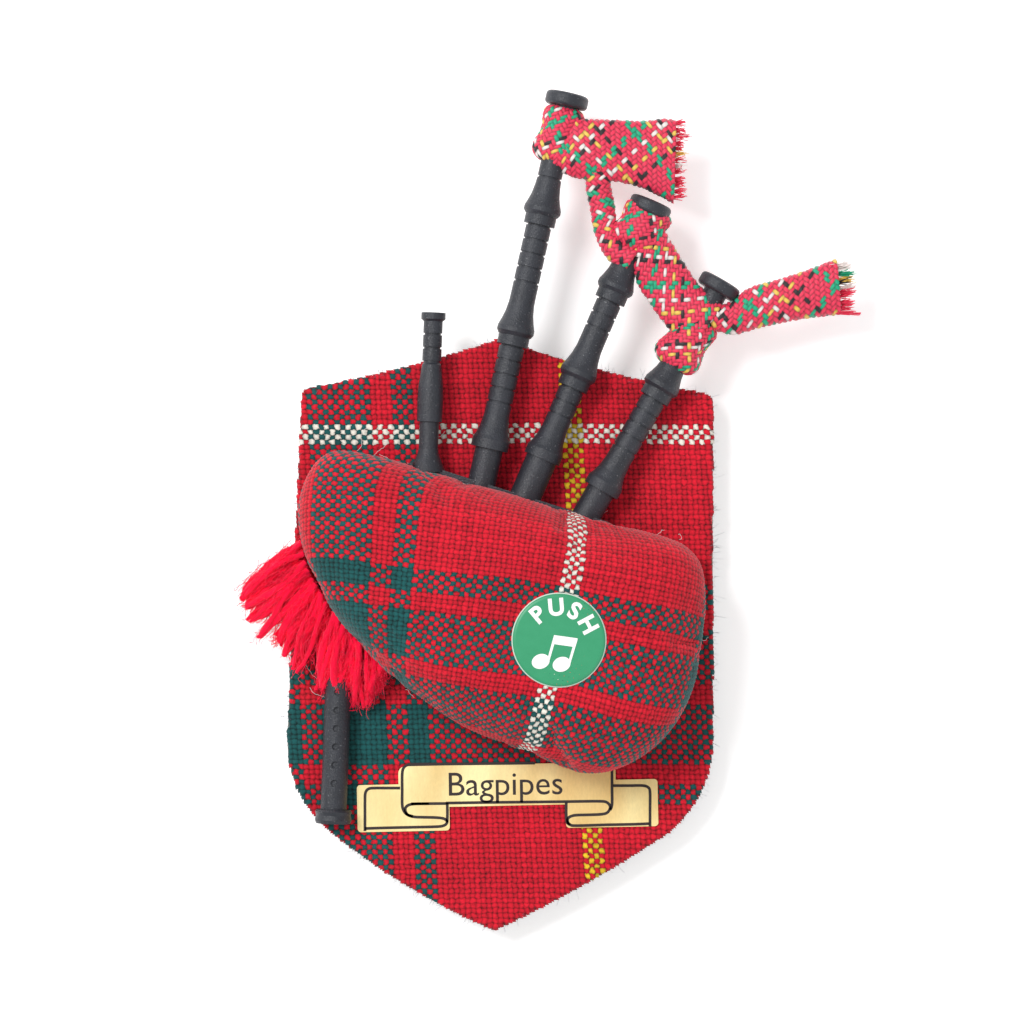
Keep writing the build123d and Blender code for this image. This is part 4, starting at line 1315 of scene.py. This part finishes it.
# %% Gold foil
foil_paint, tree, shader = material("gold_foil")
grain = object_noise(tree, 3200.0, 3.0, 0.7, (1.0, 0.35, 1.0))
clouds = object_noise(tree, 90.0, 2.0, 0.5, (1.0, 0.5, 1.0))
pale_gold, deep_gold = linear(255, 240, 178), linear(222, 184, 114)
colour = tree.mix(((clouds - 0.42) * 3.4).at_least(0.0).at_most(1.0), pale_gold, deep_gold)
tree.plug(shader.inputs["Base Color"], tree.lit(colour, grain * 0.3 + 0.92))
shader.inputs["Metallic"].default_value = 0.3
shader.inputs["Roughness"].default_value = 0.42
bumped(tree, shader, grain, 0.03 * mm, 0.5)
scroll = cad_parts["name_scroll"]
scroll.data.materials.clear()
scroll.data.materials.append(foil_paint)

# %% Printed lines and the name
ink_paint, tree, shader = material("printed_ink")
shader.inputs["Base Color"].default_value = (*linear(38, 26, 26), 1.0)
ink_wear = object_noise(tree, 1800.0, 3.0)
tree.plug(shader.inputs["Roughness"], ink_wear * 0.3 + 0.4)
ink_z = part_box("name_scroll")[1].z + 0.012 * mm
ink_width = 0.4 * mm


def ribbon(points, width):
    """Points and faces of a flat printed line."""
    line = smooth_line(points, 8 * len(points)) * mm
    run = np.gradient(line, axis=0)
    run /= np.maximum(np.linalg.norm(run, axis=1, keepdims=True), 1e-9)
    side = np.stack([-run[:, 1], run[:, 0]], -1) * width / 2
    count = len(line)
    faces = [(n, n + count, n + count + 1, n + 1) for n in range(count - 1)]
    return np.concatenate([line + side, line - side]), faces


def printed(name, shapes, height, paint):
    """One piece of flat shapes, each (points, faces), laid at a height over every point."""
    points, faces = [], []
    for shape, shape_faces in shapes:
        base = len(points)
        points += [(x, y, height(x, y)) for x, y in shape]
        faces += [[k + base for k in face] for face in shape_faces]
    mesh = mesh_of(name, points, faces, smooth=False)
    work = bmesh.new()
    work.from_mesh(mesh)
    for face in work.faces:
        face.normal_update()
        if face.normal.z < 0:
            face.normal_flip()
    work.to_mesh(mesh)
    work.free()
    return new_object(name, mesh, paint)


def lettering(text, size, middle, turn, bold=0.0):
    """Flat shape of a piece of text in the built-in typeface, centred on a point."""
    curve = bpy.data.curves.new("lettering", "FONT")
    curve.body = text
    curve.size = size
    curve.align_x = "CENTER"
    curve.resolution_u = 5
    curve.offset = bold * size
    holder = new_object("lettering", curve)
    mesh = evaluated_mesh(holder)
    flat = np.array([v.co[:2] for v in mesh.vertices])
    faces = [list(face.vertices) for face in mesh.polygons]
    bpy.data.objects.remove(holder)
    flat[:, 1] -= size * 0.34
    c, s = cos(turn), sin(turn)
    return flat @ np.array([[c, s], [-s, c]]) + np.array(middle), faces


# Each printed line is a row of points in millimetres.
scroll_lines = [
    [(-18.9, -29.36), (-18.9, -27.26), (-18.9, -25.3), (-18.84, -24.04), (-18.4, -23.45),
     (-17.5, -23.34), (-15.82, -23.34), (-13.97, -23.34)],
    [(-18.9, -29), (-16.1, -28.91), (-12.46, -28.83), (-8.82, -28.74), (-7.78, -28.55),
     (-7.39, -28.1), (-7.78, -27.65), (-8.82, -27.48), (-10.5, -27.43), (-12.04, -27.37),
     (-13.02, -27.04), (-13.52, -26.42), (-13.69, -25.58), (-13.69, -23.62), (-13.69, -21.38),
     (-13.47, -20.48), (-12.8, -20.06), (-11.62, -20.01), (-4.9, -19.95), (4.9, -19.84)],
    [(-9.94, -25.52), (-12.18, -25.58), (-13.02, -25.86), (-13.27, -26.36), (-12.96, -27.04),
     (-12.18, -27.32)],
    [(-12.46, -25.55), (-9.94, -25.52), (-7.48, -25.5)],
    [(-7.39, -25.41), (-7.36, -26.7), (-7.39, -28.16)],
    [(-7.56, -25.44), (-2.1, -25.36), (3.5, -25.3), (9.1, -25.24), (13.86, -25.19),
     (14.98, -25.36), (15.43, -26), (15.04, -26.76), (14.14, -27.01), (12.18, -27.09),
     (10.5, -27.15), (9.66, -27.43), (9.44, -27.88), (9.72, -28.41), (10.5, -28.6),
     (14.7, -28.49), (18.62, -28.41), (20.92, -28.32)],
    [(15.68, -20.48), (15.68, -23.06), (15.68, -25.58), (15.43, -26.42)],
    [(15.82, -23), (18.06, -23), (20.02, -23), (20.78, -23.28), (21, -23.96),
     (21, -26.42), (21, -28.72)],
    [(9.27, -25.36), (9.27, -26.98), (9.38, -28.1), (9.8, -28.49)],
]
scroll_shapes = [ribbon(line, ink_width) for line in scroll_lines]
scroll_shapes.append(lettering("Bagpipes", 4.7 * mm, (0.7 * mm, -22.7 * mm), radians(0.8)))
scroll_ink = printed("name_scroll_print", scroll_shapes, lambda x, y: ink_z, ink_paint)
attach(scroll_ink, "root")


# %% [markdown]
# ## The press label
#
# The round label follows the bag's gentle crown. A quadratic fitted to the crown gives its
# height, so that the print lies on it everywhere.

# %% Label on the bag
label_rise = 0.42 * mm
around = [
    (label_middle[0] + r * cos(a), label_middle[1] + r * sin(a))
    for r in np.linspace(0.5, 7.5, 8) * mm
    for a in np.linspace(0, 2 * pi, 24, endpoint=False)
]
flat = np.array([flat_of_seen(x, y) for x, y in around])
crown = on_bag(flat[:, 0], flat[:, 1])[0][:, 2]


def crown_terms(x, y):
    x, y = (x - label_middle[0]) / label_radius, (y - label_middle[1]) / label_radius
    return np.stack([np.ones_like(x), x, y, x * x, y * y, x * y], -1)


xs, ys = np.array(around).T
crown_fit = np.linalg.lstsq(crown_terms(xs, ys), crown, rcond=None)[0]


def label_height(x, y, lift=0.0):
    return float(crown_terms(np.array(x), np.array(y)) @ crown_fit) + label_rise + lift


def band(inner, outer, sides):
    """Faces between two rings of points that start at the numbers inner and outer."""
    after = [(n + 1) % sides for n in range(sides)]
    return [(inner + n, outer + n, outer + after[n], inner + after[n]) for n in range(sides)]


def disc(name, radius, thick, paint, rings=10, sides=96):
    """A closed round sheet that follows the crown."""
    angles = np.linspace(0, 2 * pi, sides, endpoint=False)
    points, faces = [], []
    for drop in (0.0, thick):
        middle = len(points)
        points.append((*label_middle, label_height(*label_middle, -drop)))
        for ring in range(1, rings + 1):
            for a in angles:
                x, y = label_middle + radius * ring / rings * np.array([cos(a), sin(a)])
                points.append((x, y, label_height(x, y, -drop)))
        for n in range(sides):
            faces.append((middle, middle + 1 + n, middle + 1 + (n + 1) % sides))
        for ring in range(rings - 1):
            faces += band(middle + 1 + ring * sides, middle + 1 + (ring + 1) * sides, sides)
    rim = 1 + (rings - 1) * sides
    faces += band(rim, len(points) // 2 + rim, sides)
    mesh = mesh_of(name, points, faces)
    face_outwards(mesh)
    return new_object(name, mesh, paint)


label_paint, tree, shader = material("label_vinyl")
x, y, _ = tree.split(tree.node("ShaderNodeTexCoord", output="Object"))
off_x, off_y = x - float(label_middle[0]), y - float(label_middle[1])
pale_edge = 0.16 * mm
edge = (off_x * off_x + off_y * off_y).root() > float(label_radius - pale_edge)
mottle = object_noise(tree, 900.0, 3.0)
label_green = tree.mix(mottle * 0.5, linear(44, 148, 102), linear(62, 164, 118))
tree.plug(shader.inputs["Base Color"], tree.mix(edge, label_green, linear(206, 222, 208)))
shader.inputs["Roughness"].default_value = 0.42
label = disc("press_label_crowned", label_radius, 0.12 * mm, label_paint)
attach(label, "button")
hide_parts("press_label")

# %% Print on the label
label_print_paint, tree, shader = material("label_print")
wear = object_noise(tree, 1500.0, 3.0)
tree.plug(shader.inputs["Base Color"], tree.mix(wear * 0.3, linear(252, 252, 250), linear(226, 228, 222)))
shader.inputs["Roughness"].default_value = 0.45


def ellipse(x, y, wide, tall, turn, sides=32):
    """Points and the one face of a turned ellipse."""
    a = np.linspace(0, 2 * pi, sides, endpoint=False)
    p, q = wide * np.cos(a), tall * np.sin(a)
    points = np.stack([x + p * cos(turn) - q * sin(turn), y + p * sin(turn) + q * cos(turn)], -1)
    return points, [list(range(sides))]


def on_label(shape):
    """Moves a shape in millimetres to the label's middle."""
    points, faces = shape
    return np.asarray(points) * mm + label_middle, faces


letter_places = [(130, "P"), (95, "U"), (62, "S"), (28, "H")]  # degrees round the label
letter_ring, letter_size = 0.70 * label_radius, 3.2 * mm
label_shapes = []
for bearing, letter in letter_places:
    a = radians(bearing)
    at = label_middle + letter_ring * np.array([cos(a), sin(a)])
    label_shapes.append(lettering(letter, letter_size, at, a - pi / 2, bold=0.035))
# The beamed note, in millimetres from the label's middle: two heads, and then two stems and a
# slanted beam of four corners each.
note_heads = [(-2.5, -2.9), (0.35, -3.3)]
note_strokes = [
    [(-1.65, -2.8), (-1.3, -2.8), (-0.35, 0.45), (-0.75, 0.45)],
    [(1.2, -3.2), (1.55, -3.2), (2.55, 0.1), (2.15, 0.1)],
    [(-0.98, -0.5), (2.2, -0.95), (2.55, 0.25), (-0.68, 0.7)],
]
label_shapes += [on_label(ellipse(x, y, wide=1.25, tall=1.0, turn=0.35)) for x, y in note_heads]
label_shapes += [on_label((corners, [[0, 1, 2, 3]])) for corners in note_strokes]
print_lift = 0.03 * mm
label_print = printed(
    "press_label_print", label_shapes, lambda x, y: label_height(x, y, print_lift), label_print_paint
)
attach(label_print, "button")


# %% [markdown]
# ## Hard parts
#
# The pipes, the board and everything inside the bag keep their CAD shapes. A small bevel
# catches light on their edges, and each material is a plain one broken up by noise.


# %% Materials of the hard parts
def plain(
    name, base, roughness, metallic=0.0, grain=2000.0, spread=0.25, depth=0.02, stretch=(1, 1, 1)
):
    """A material of one colour with a little noise in its tone, its roughness and its surface.

    grain is in cycles per metre, spread is a share of the colour, and depth is in millimetres.
    """
    made, tree, shader = material(name)
    noise = object_noise(tree, grain, 3.0, 0.6, stretch)
    dark = tuple(v * (1 - spread) for v in base)
    light = tuple(min(1.0, v * (1 + spread)) for v in base)
    tree.plug(shader.inputs["Base Color"], tree.mix(noise, dark, light))
    tree.plug(shader.inputs["Roughness"], noise * 0.2 + (roughness - 0.1))
    shader.inputs["Metallic"].default_value = metallic
    bumped(tree, shader, noise, depth * mm, 0.6)
    return made


def dress(nodes, paint, bevel=0.0):
    """Gives CAD nodes a material and, where asked, a bevel on their sharp edges."""
    for name in nodes:
        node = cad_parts[name]
        node.data.materials.clear()
        node.data.materials.append(paint)
        if bevel:
            soften = node.modifiers.new("soften", "BEVEL")
            soften.width = bevel
            soften.segments = 2
            soften.limit_method = "ANGLE"
            soften.angle_limit = radians(35)


# %% Black plastic pipes
pipe_paint, tree, shader = material("pipe_plastic")
skin = object_noise(tree, 5200.0, 2.0, 0.6)
cast = object_noise(tree, 260.0, 3.0, 0.6)
dust = object_noise(tree, 4200.0, 1.0, 0.5)
specks = ((dust - 0.7) * 14.0).at_least(0.0).at_most(1.0) * 0.55
body = tree.mix(cast, linear(22, 25, 31), linear(52, 55, 64))
tree.plug(shader.inputs["Base Color"], tree.mix(specks, body, linear(150, 152, 156)))
tree.plug(shader.inputs["Roughness"], cast * 0.25 + 0.28)
bumped(tree, shader, skin, 0.12 * mm, 0.8)
pipes = ["bass_drone", "middle_drone", "outer_drone", "blowpipe", "chanter", "stock_rail"]
dress(pipes, pipe_paint, 0.11 * mm)

# %% Board, magnet and the sound module
dress(["backing_board"], plain("board", linear(150, 134, 110), 0.85, grain=1400.0, stretch=(1, 1, 6)))
dress(["magnet"], plain("ferrite", linear(66, 62, 62), 0.7, grain=700.0, stretch=(1, 9, 1)))
dress(["magnet_tape"], plain("tape", linear(232, 232, 226), 0.8, grain=3000.0))
dress(["module_case", "module_lid"], plain("case_plastic", linear(226, 226, 220), 0.45), 0.15 * mm)
dress(["sounder"], plain("sounder_brass", linear(206, 176, 96), 0.35, 1.0, 900.0, stretch=(1, 8, 1)))
dress(["circuit_board"], plain("circuit", linear(30, 112, 62), 0.4, grain=600.0))
dress(["sounder_leads"], plain("tinned_wire", linear(206, 206, 208), 0.3, 1.0))
dress(["chip_blob"], plain("epoxy", linear(24, 24, 26), 0.25, grain=400.0))
dress(["button_cells"], plain("cell_steel", linear(212, 212, 214), 0.28, 1.0, 1200.0), 0.1 * mm)
dress(["cell_contacts", "contact_dome"], plain("contact_steel", linear(206, 202, 192), 0.3, 1.0))
dress(["module_screws"], plain("screw_steel", linear(176, 176, 180), 0.35, 1.0))
spring_paint = plain("spring_steel", linear(184, 184, 188), 0.3, 1.0)
dress(["press_plunger", "press_head"], plain("button_plastic", linear(236, 236, 230), 0.35), 0.12 * mm)


# %% [markdown]
# ## The return spring
#
# The spring stands on the module's board, and on the real thing it shortens by the travel of the
# button as the button goes down. Here it is a copy of the CAD spring in spring steel.

# %% Return spring
spring = new_object("return_spring_coil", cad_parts["return_spring"].data.copy(), spring_paint)
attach(spring, "root")
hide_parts("return_spring")
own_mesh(spring)


# %% [markdown]
# ## Soft parts behind and inside
#
# The felt behind the board, the panel under the bag and the wadding are soft, so each is made
# again as a soft thing: its face undulates, its edge is not straight, and its fibres stand out.


# %% Felt backing and bag panel
def soft_sheet(node, name, paint, pitch_scale, wave):
    """A thin fabric slab in the outline of a CAD node."""
    outline = top_outline(node)
    low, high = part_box(node)
    middle = np.array([(low.x + high.x) / 2, (low.y + high.y) / 2])
    radii = radius_table(outline, middle)
    step = thread_pitch * pitch_scale

    def spot(u, v):
        return middle[0] + u * step, middle[1] + v * step

    def place(u, v):
        x, y = spot(u, v)
        ripple = np.sin(x / (3.1 * mm)) + np.sin(y / (2.3 * mm) + x / (5 * mm))
        z = high.z - wave * (0.5 + 0.25 * ripple)
        return np.stack([x, y, z], -1)

    def inside(u, v):
        x, y = spot(u, v)
        reach = radius_at(radii, np.arctan2(y - middle[1], x - middle[0]))
        ragged = 0.05 * mm * (1 + np.sin(31 * x / mm))
        return np.hypot(x - middle[0], y - middle[1]) < reach - ragged

    reach_u = int((high.x - low.x) / step / 2) + 2
    reach_v = int((high.y - low.y) / step / 2) + 2
    mesh = woven_mesh(name, (-reach_u, reach_u), (-reach_v, reach_v), place, inside, low.z)
    piece = new_object(name, mesh, paint)
    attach(piece, "root")
    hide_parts(node)
    return piece, (high.x - low.x, high.y - low.y), outline_area(outline)


felt_paint = plain("liner", linear(96, 102, 118), 0.95, grain=2600.0, spread=0.5, depth=0.15)
panel_paint = plain("panel_cloth", linear(168, 30, 48), 0.9, grain=1500.0, spread=0.4, depth=0.1)
liner, liner_flat, liner_area = soft_sheet(
    "back_liner", "back_liner_felt", felt_paint, pitch_scale=1.3, wave=0.12 * mm
)
panel, panel_flat, panel_area = soft_sheet(
    "bag_back_panel", "bag_back_panel_cloth", panel_paint, pitch_scale=1.3, wave=0.1 * mm
)


# %% Wadding
wadding_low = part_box("bag_filling")[0].z + 0.02 * mm
wadding_inset, wadding_drop = 1.0 * mm, 0.25 * mm
cavity_gap = 0.3 * mm


def wadding_mesh():
    """A lumpy copy of the bag's dome, a little inside it."""
    rings, sides = 34, 120
    angles = np.linspace(0, 2 * pi, sides, endpoint=False)
    shares = np.linspace(0, 0.97, rings)[1:]
    a, s = (grid.ravel() for grid in np.meshgrid(angles, shares))
    distance = s * radius_at(profile_length, np.angle(np.exp(1j * a)))
    x, y = bag_middle[0] + distance * np.cos(a), bag_middle[1] + distance * np.sin(a)
    points, _ = on_bag(x, y, wadding_inset)
    lumps = 0.25 * mm * np.sin(x / (1.9 * mm)) * np.sin(y / (1.7 * mm) + x / (4 * mm))
    points[:, 2] = np.maximum(points[:, 2] - wadding_drop + lumps, wadding_low)
    top = on_bag(bag_middle[[0]], bag_middle[[1]], wadding_inset)[0] - [0, 0, wadding_drop]
    low = [[*bag_middle, wadding_low]]
    number = np.arange(len(points)).reshape(rings - 1, sides)
    after = np.roll(number, -1, 1)
    faces = np.stack([number[:-1], number[1:], after[1:], after[:-1]], -1).reshape(-1, 4).tolist()
    faces += [(len(points), number[0, n], after[0, n]) for n in range(sides)]
    faces += [(len(points) + 1, after[-1, n], number[-1, n]) for n in range(sides)]
    return mesh_of("bag_wadding", np.concatenate([points, top, low]), faces)


wadding_paint = plain("wadding", linear(238, 238, 234), 0.95, grain=1100.0, spread=0.12, depth=0.3)
wadding = new_object("bag_wadding", wadding_mesh(), wadding_paint)
face_outwards(wadding.data)
# The module and the button's head each leave a round hollow, which goes up to a height.
hollow_tops = {"module_case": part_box("module_lid")[1].z + cavity_gap, "press_head": 22 * mm}
cavities = bmesh.new()
for node, top in hollow_tops.items():
    low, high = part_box(node)
    bottom = low.z - 3 * mm
    radius = (high.x - low.x) / 2 + cavity_gap
    middle = Vector(((low.x + high.x) / 2, (low.y + high.y) / 2, (top + bottom) / 2))
    bmesh.ops.create_cone(
        cavities,
        cap_ends=True,
        segments=72,
        radius1=radius,
        radius2=radius,
        depth=top - bottom,
        matrix=Matrix.Translation(middle),
    )
cavity_mesh = bpy.data.meshes.new("cavities")
cavities.to_mesh(cavity_mesh)
cavities.free()
cavity = new_object("cavities", cavity_mesh)
cut = wadding.modifiers.new("cut", "BOOLEAN")
cut.object = cavity
cut.operation = "DIFFERENCE"
cut.solver = "EXACT"
cut.use_self = True
carved = evaluated_mesh(wadding)
wadding.modifiers.clear()
wadding.data = carved
wadding.data.materials.clear()
wadding.data.materials.append(wadding_paint)
bpy.data.objects.remove(cavity)
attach(wadding, "root")
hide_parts("bag_filling")


# %% [markdown]
# ## Fuzz and stray hairs
#
# Wool sheds. Short fibres stand out of the felt all round the shield's edge, and a few pale
# hairs lie curled on the bag and beside it.

# %% Fuzz round the shield and stray hairs
dice = np.random.default_rng(41)
felt_paths, felt_radii = [], []
rim_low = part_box("back_liner")[0].z
fuzz_count, fuzz_points = 1100, 5
for _ in range(fuzz_count):
    angle = dice.uniform(-pi, pi)
    heading = np.array([cos(angle), sin(angle)])
    rim = heading * (radius_at(shield_radii, angle) - 0.5 * mm)
    bent = heading + dice.normal(0, 0.7, 2)
    reach = dice.uniform(0.25, 0.95) * mm
    t = np.linspace(0, 1, fuzz_points)[:, None]
    flat = rim + bent * reach * t + dice.normal(0, 0.3, 2) * mm * t**2
    z = dice.uniform(rim_low, shield_top) + dice.normal(0, 0.25) * mm * t
    felt_paths.append(np.concatenate([flat, np.clip(z, 0.1 * mm, shield_top)], 1))
    felt_radii.append(np.full(fuzz_points, dice.uniform(0.012, 0.024) * mm))
rim_fuzz = strands("shield_edge_fuzz", felt_paths, felt_radii, felt_paint, sides=3)
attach(rim_fuzz, "root")

hair_paint = plain("stray_hair", linear(226, 222, 222), 0.6, grain=900.0, spread=0.1)
hair_paths, hair_radii = [], []
# Each hair is a place in millimetres, its length and its heading in degrees.
hair_places = [
    (-20.2, 23.8, 4.1, 20), (-18.5, 22.4, 4.7, 60), (-17.5, 21.3, 4.1, 10), (-13, 22.2, 1.1, 0),
    (-9, 24.3, 3.3, 90), (-3, 19.7, 1.1, 80), (-4.1, 16, 1.4, 30), (1.1, 8.2, 0.8, 10),
    (12.4, 14.2, 3.3, -10), (13.7, 15.3, 2.7, -20), (22, 12.1, 1.4, 60), (25, 11.5, 1.4, -30),
    (-27.4, -5.7, 3.3, -60), (-26.7, -9.1, 3.6, -50), (-21.2, -5.2, 3.3, -5), (-13.3, -9.6, 1.9, 0),
    (27, -3.6, 3, 60), (27.4, -5, 2.5, 20), (-14.6, 1.7, 0.5, 0), (-21.3, 6, 0.5, 0),
]
hair_points = 24
for hair_x, hair_y, hair_length, heading in hair_places:
    t = np.linspace(0, 1, hair_points)
    turn = radians(heading) + np.cumsum(dice.normal(0, 0.34, hair_points)) + dice.normal(0, 1.2) * t
    step = hair_length * mm / hair_points
    flat = np.cumsum(np.stack([np.cos(turn), np.sin(turn)], -1) * step, 0)
    flat += np.array([hair_x, hair_y]) * mm
    spots = np.array([flat_of_seen(x, y) for x, y in flat])
    surface, share = on_bag(spots[:, 0], spots[:, 1])
    z = np.where(share > 0.6, shield_top + 0.4 * mm, surface[:, 2] + 0.5 * mm)
    # Averaging the heights lets a hair bridge the step down from the bag to the shield.
    z = np.convolve(np.pad(z, 3, mode="edge"), np.ones(7) / 7, mode="valid")
    hair_paths.append(np.concatenate([flat, z[:, None]], 1))
    hair_radii.append(np.full(hair_points, 0.03 * mm))
hairs = strands("stray_hairs", hair_paths, hair_radii, hair_paint, sides=4)
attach(hairs, "root")
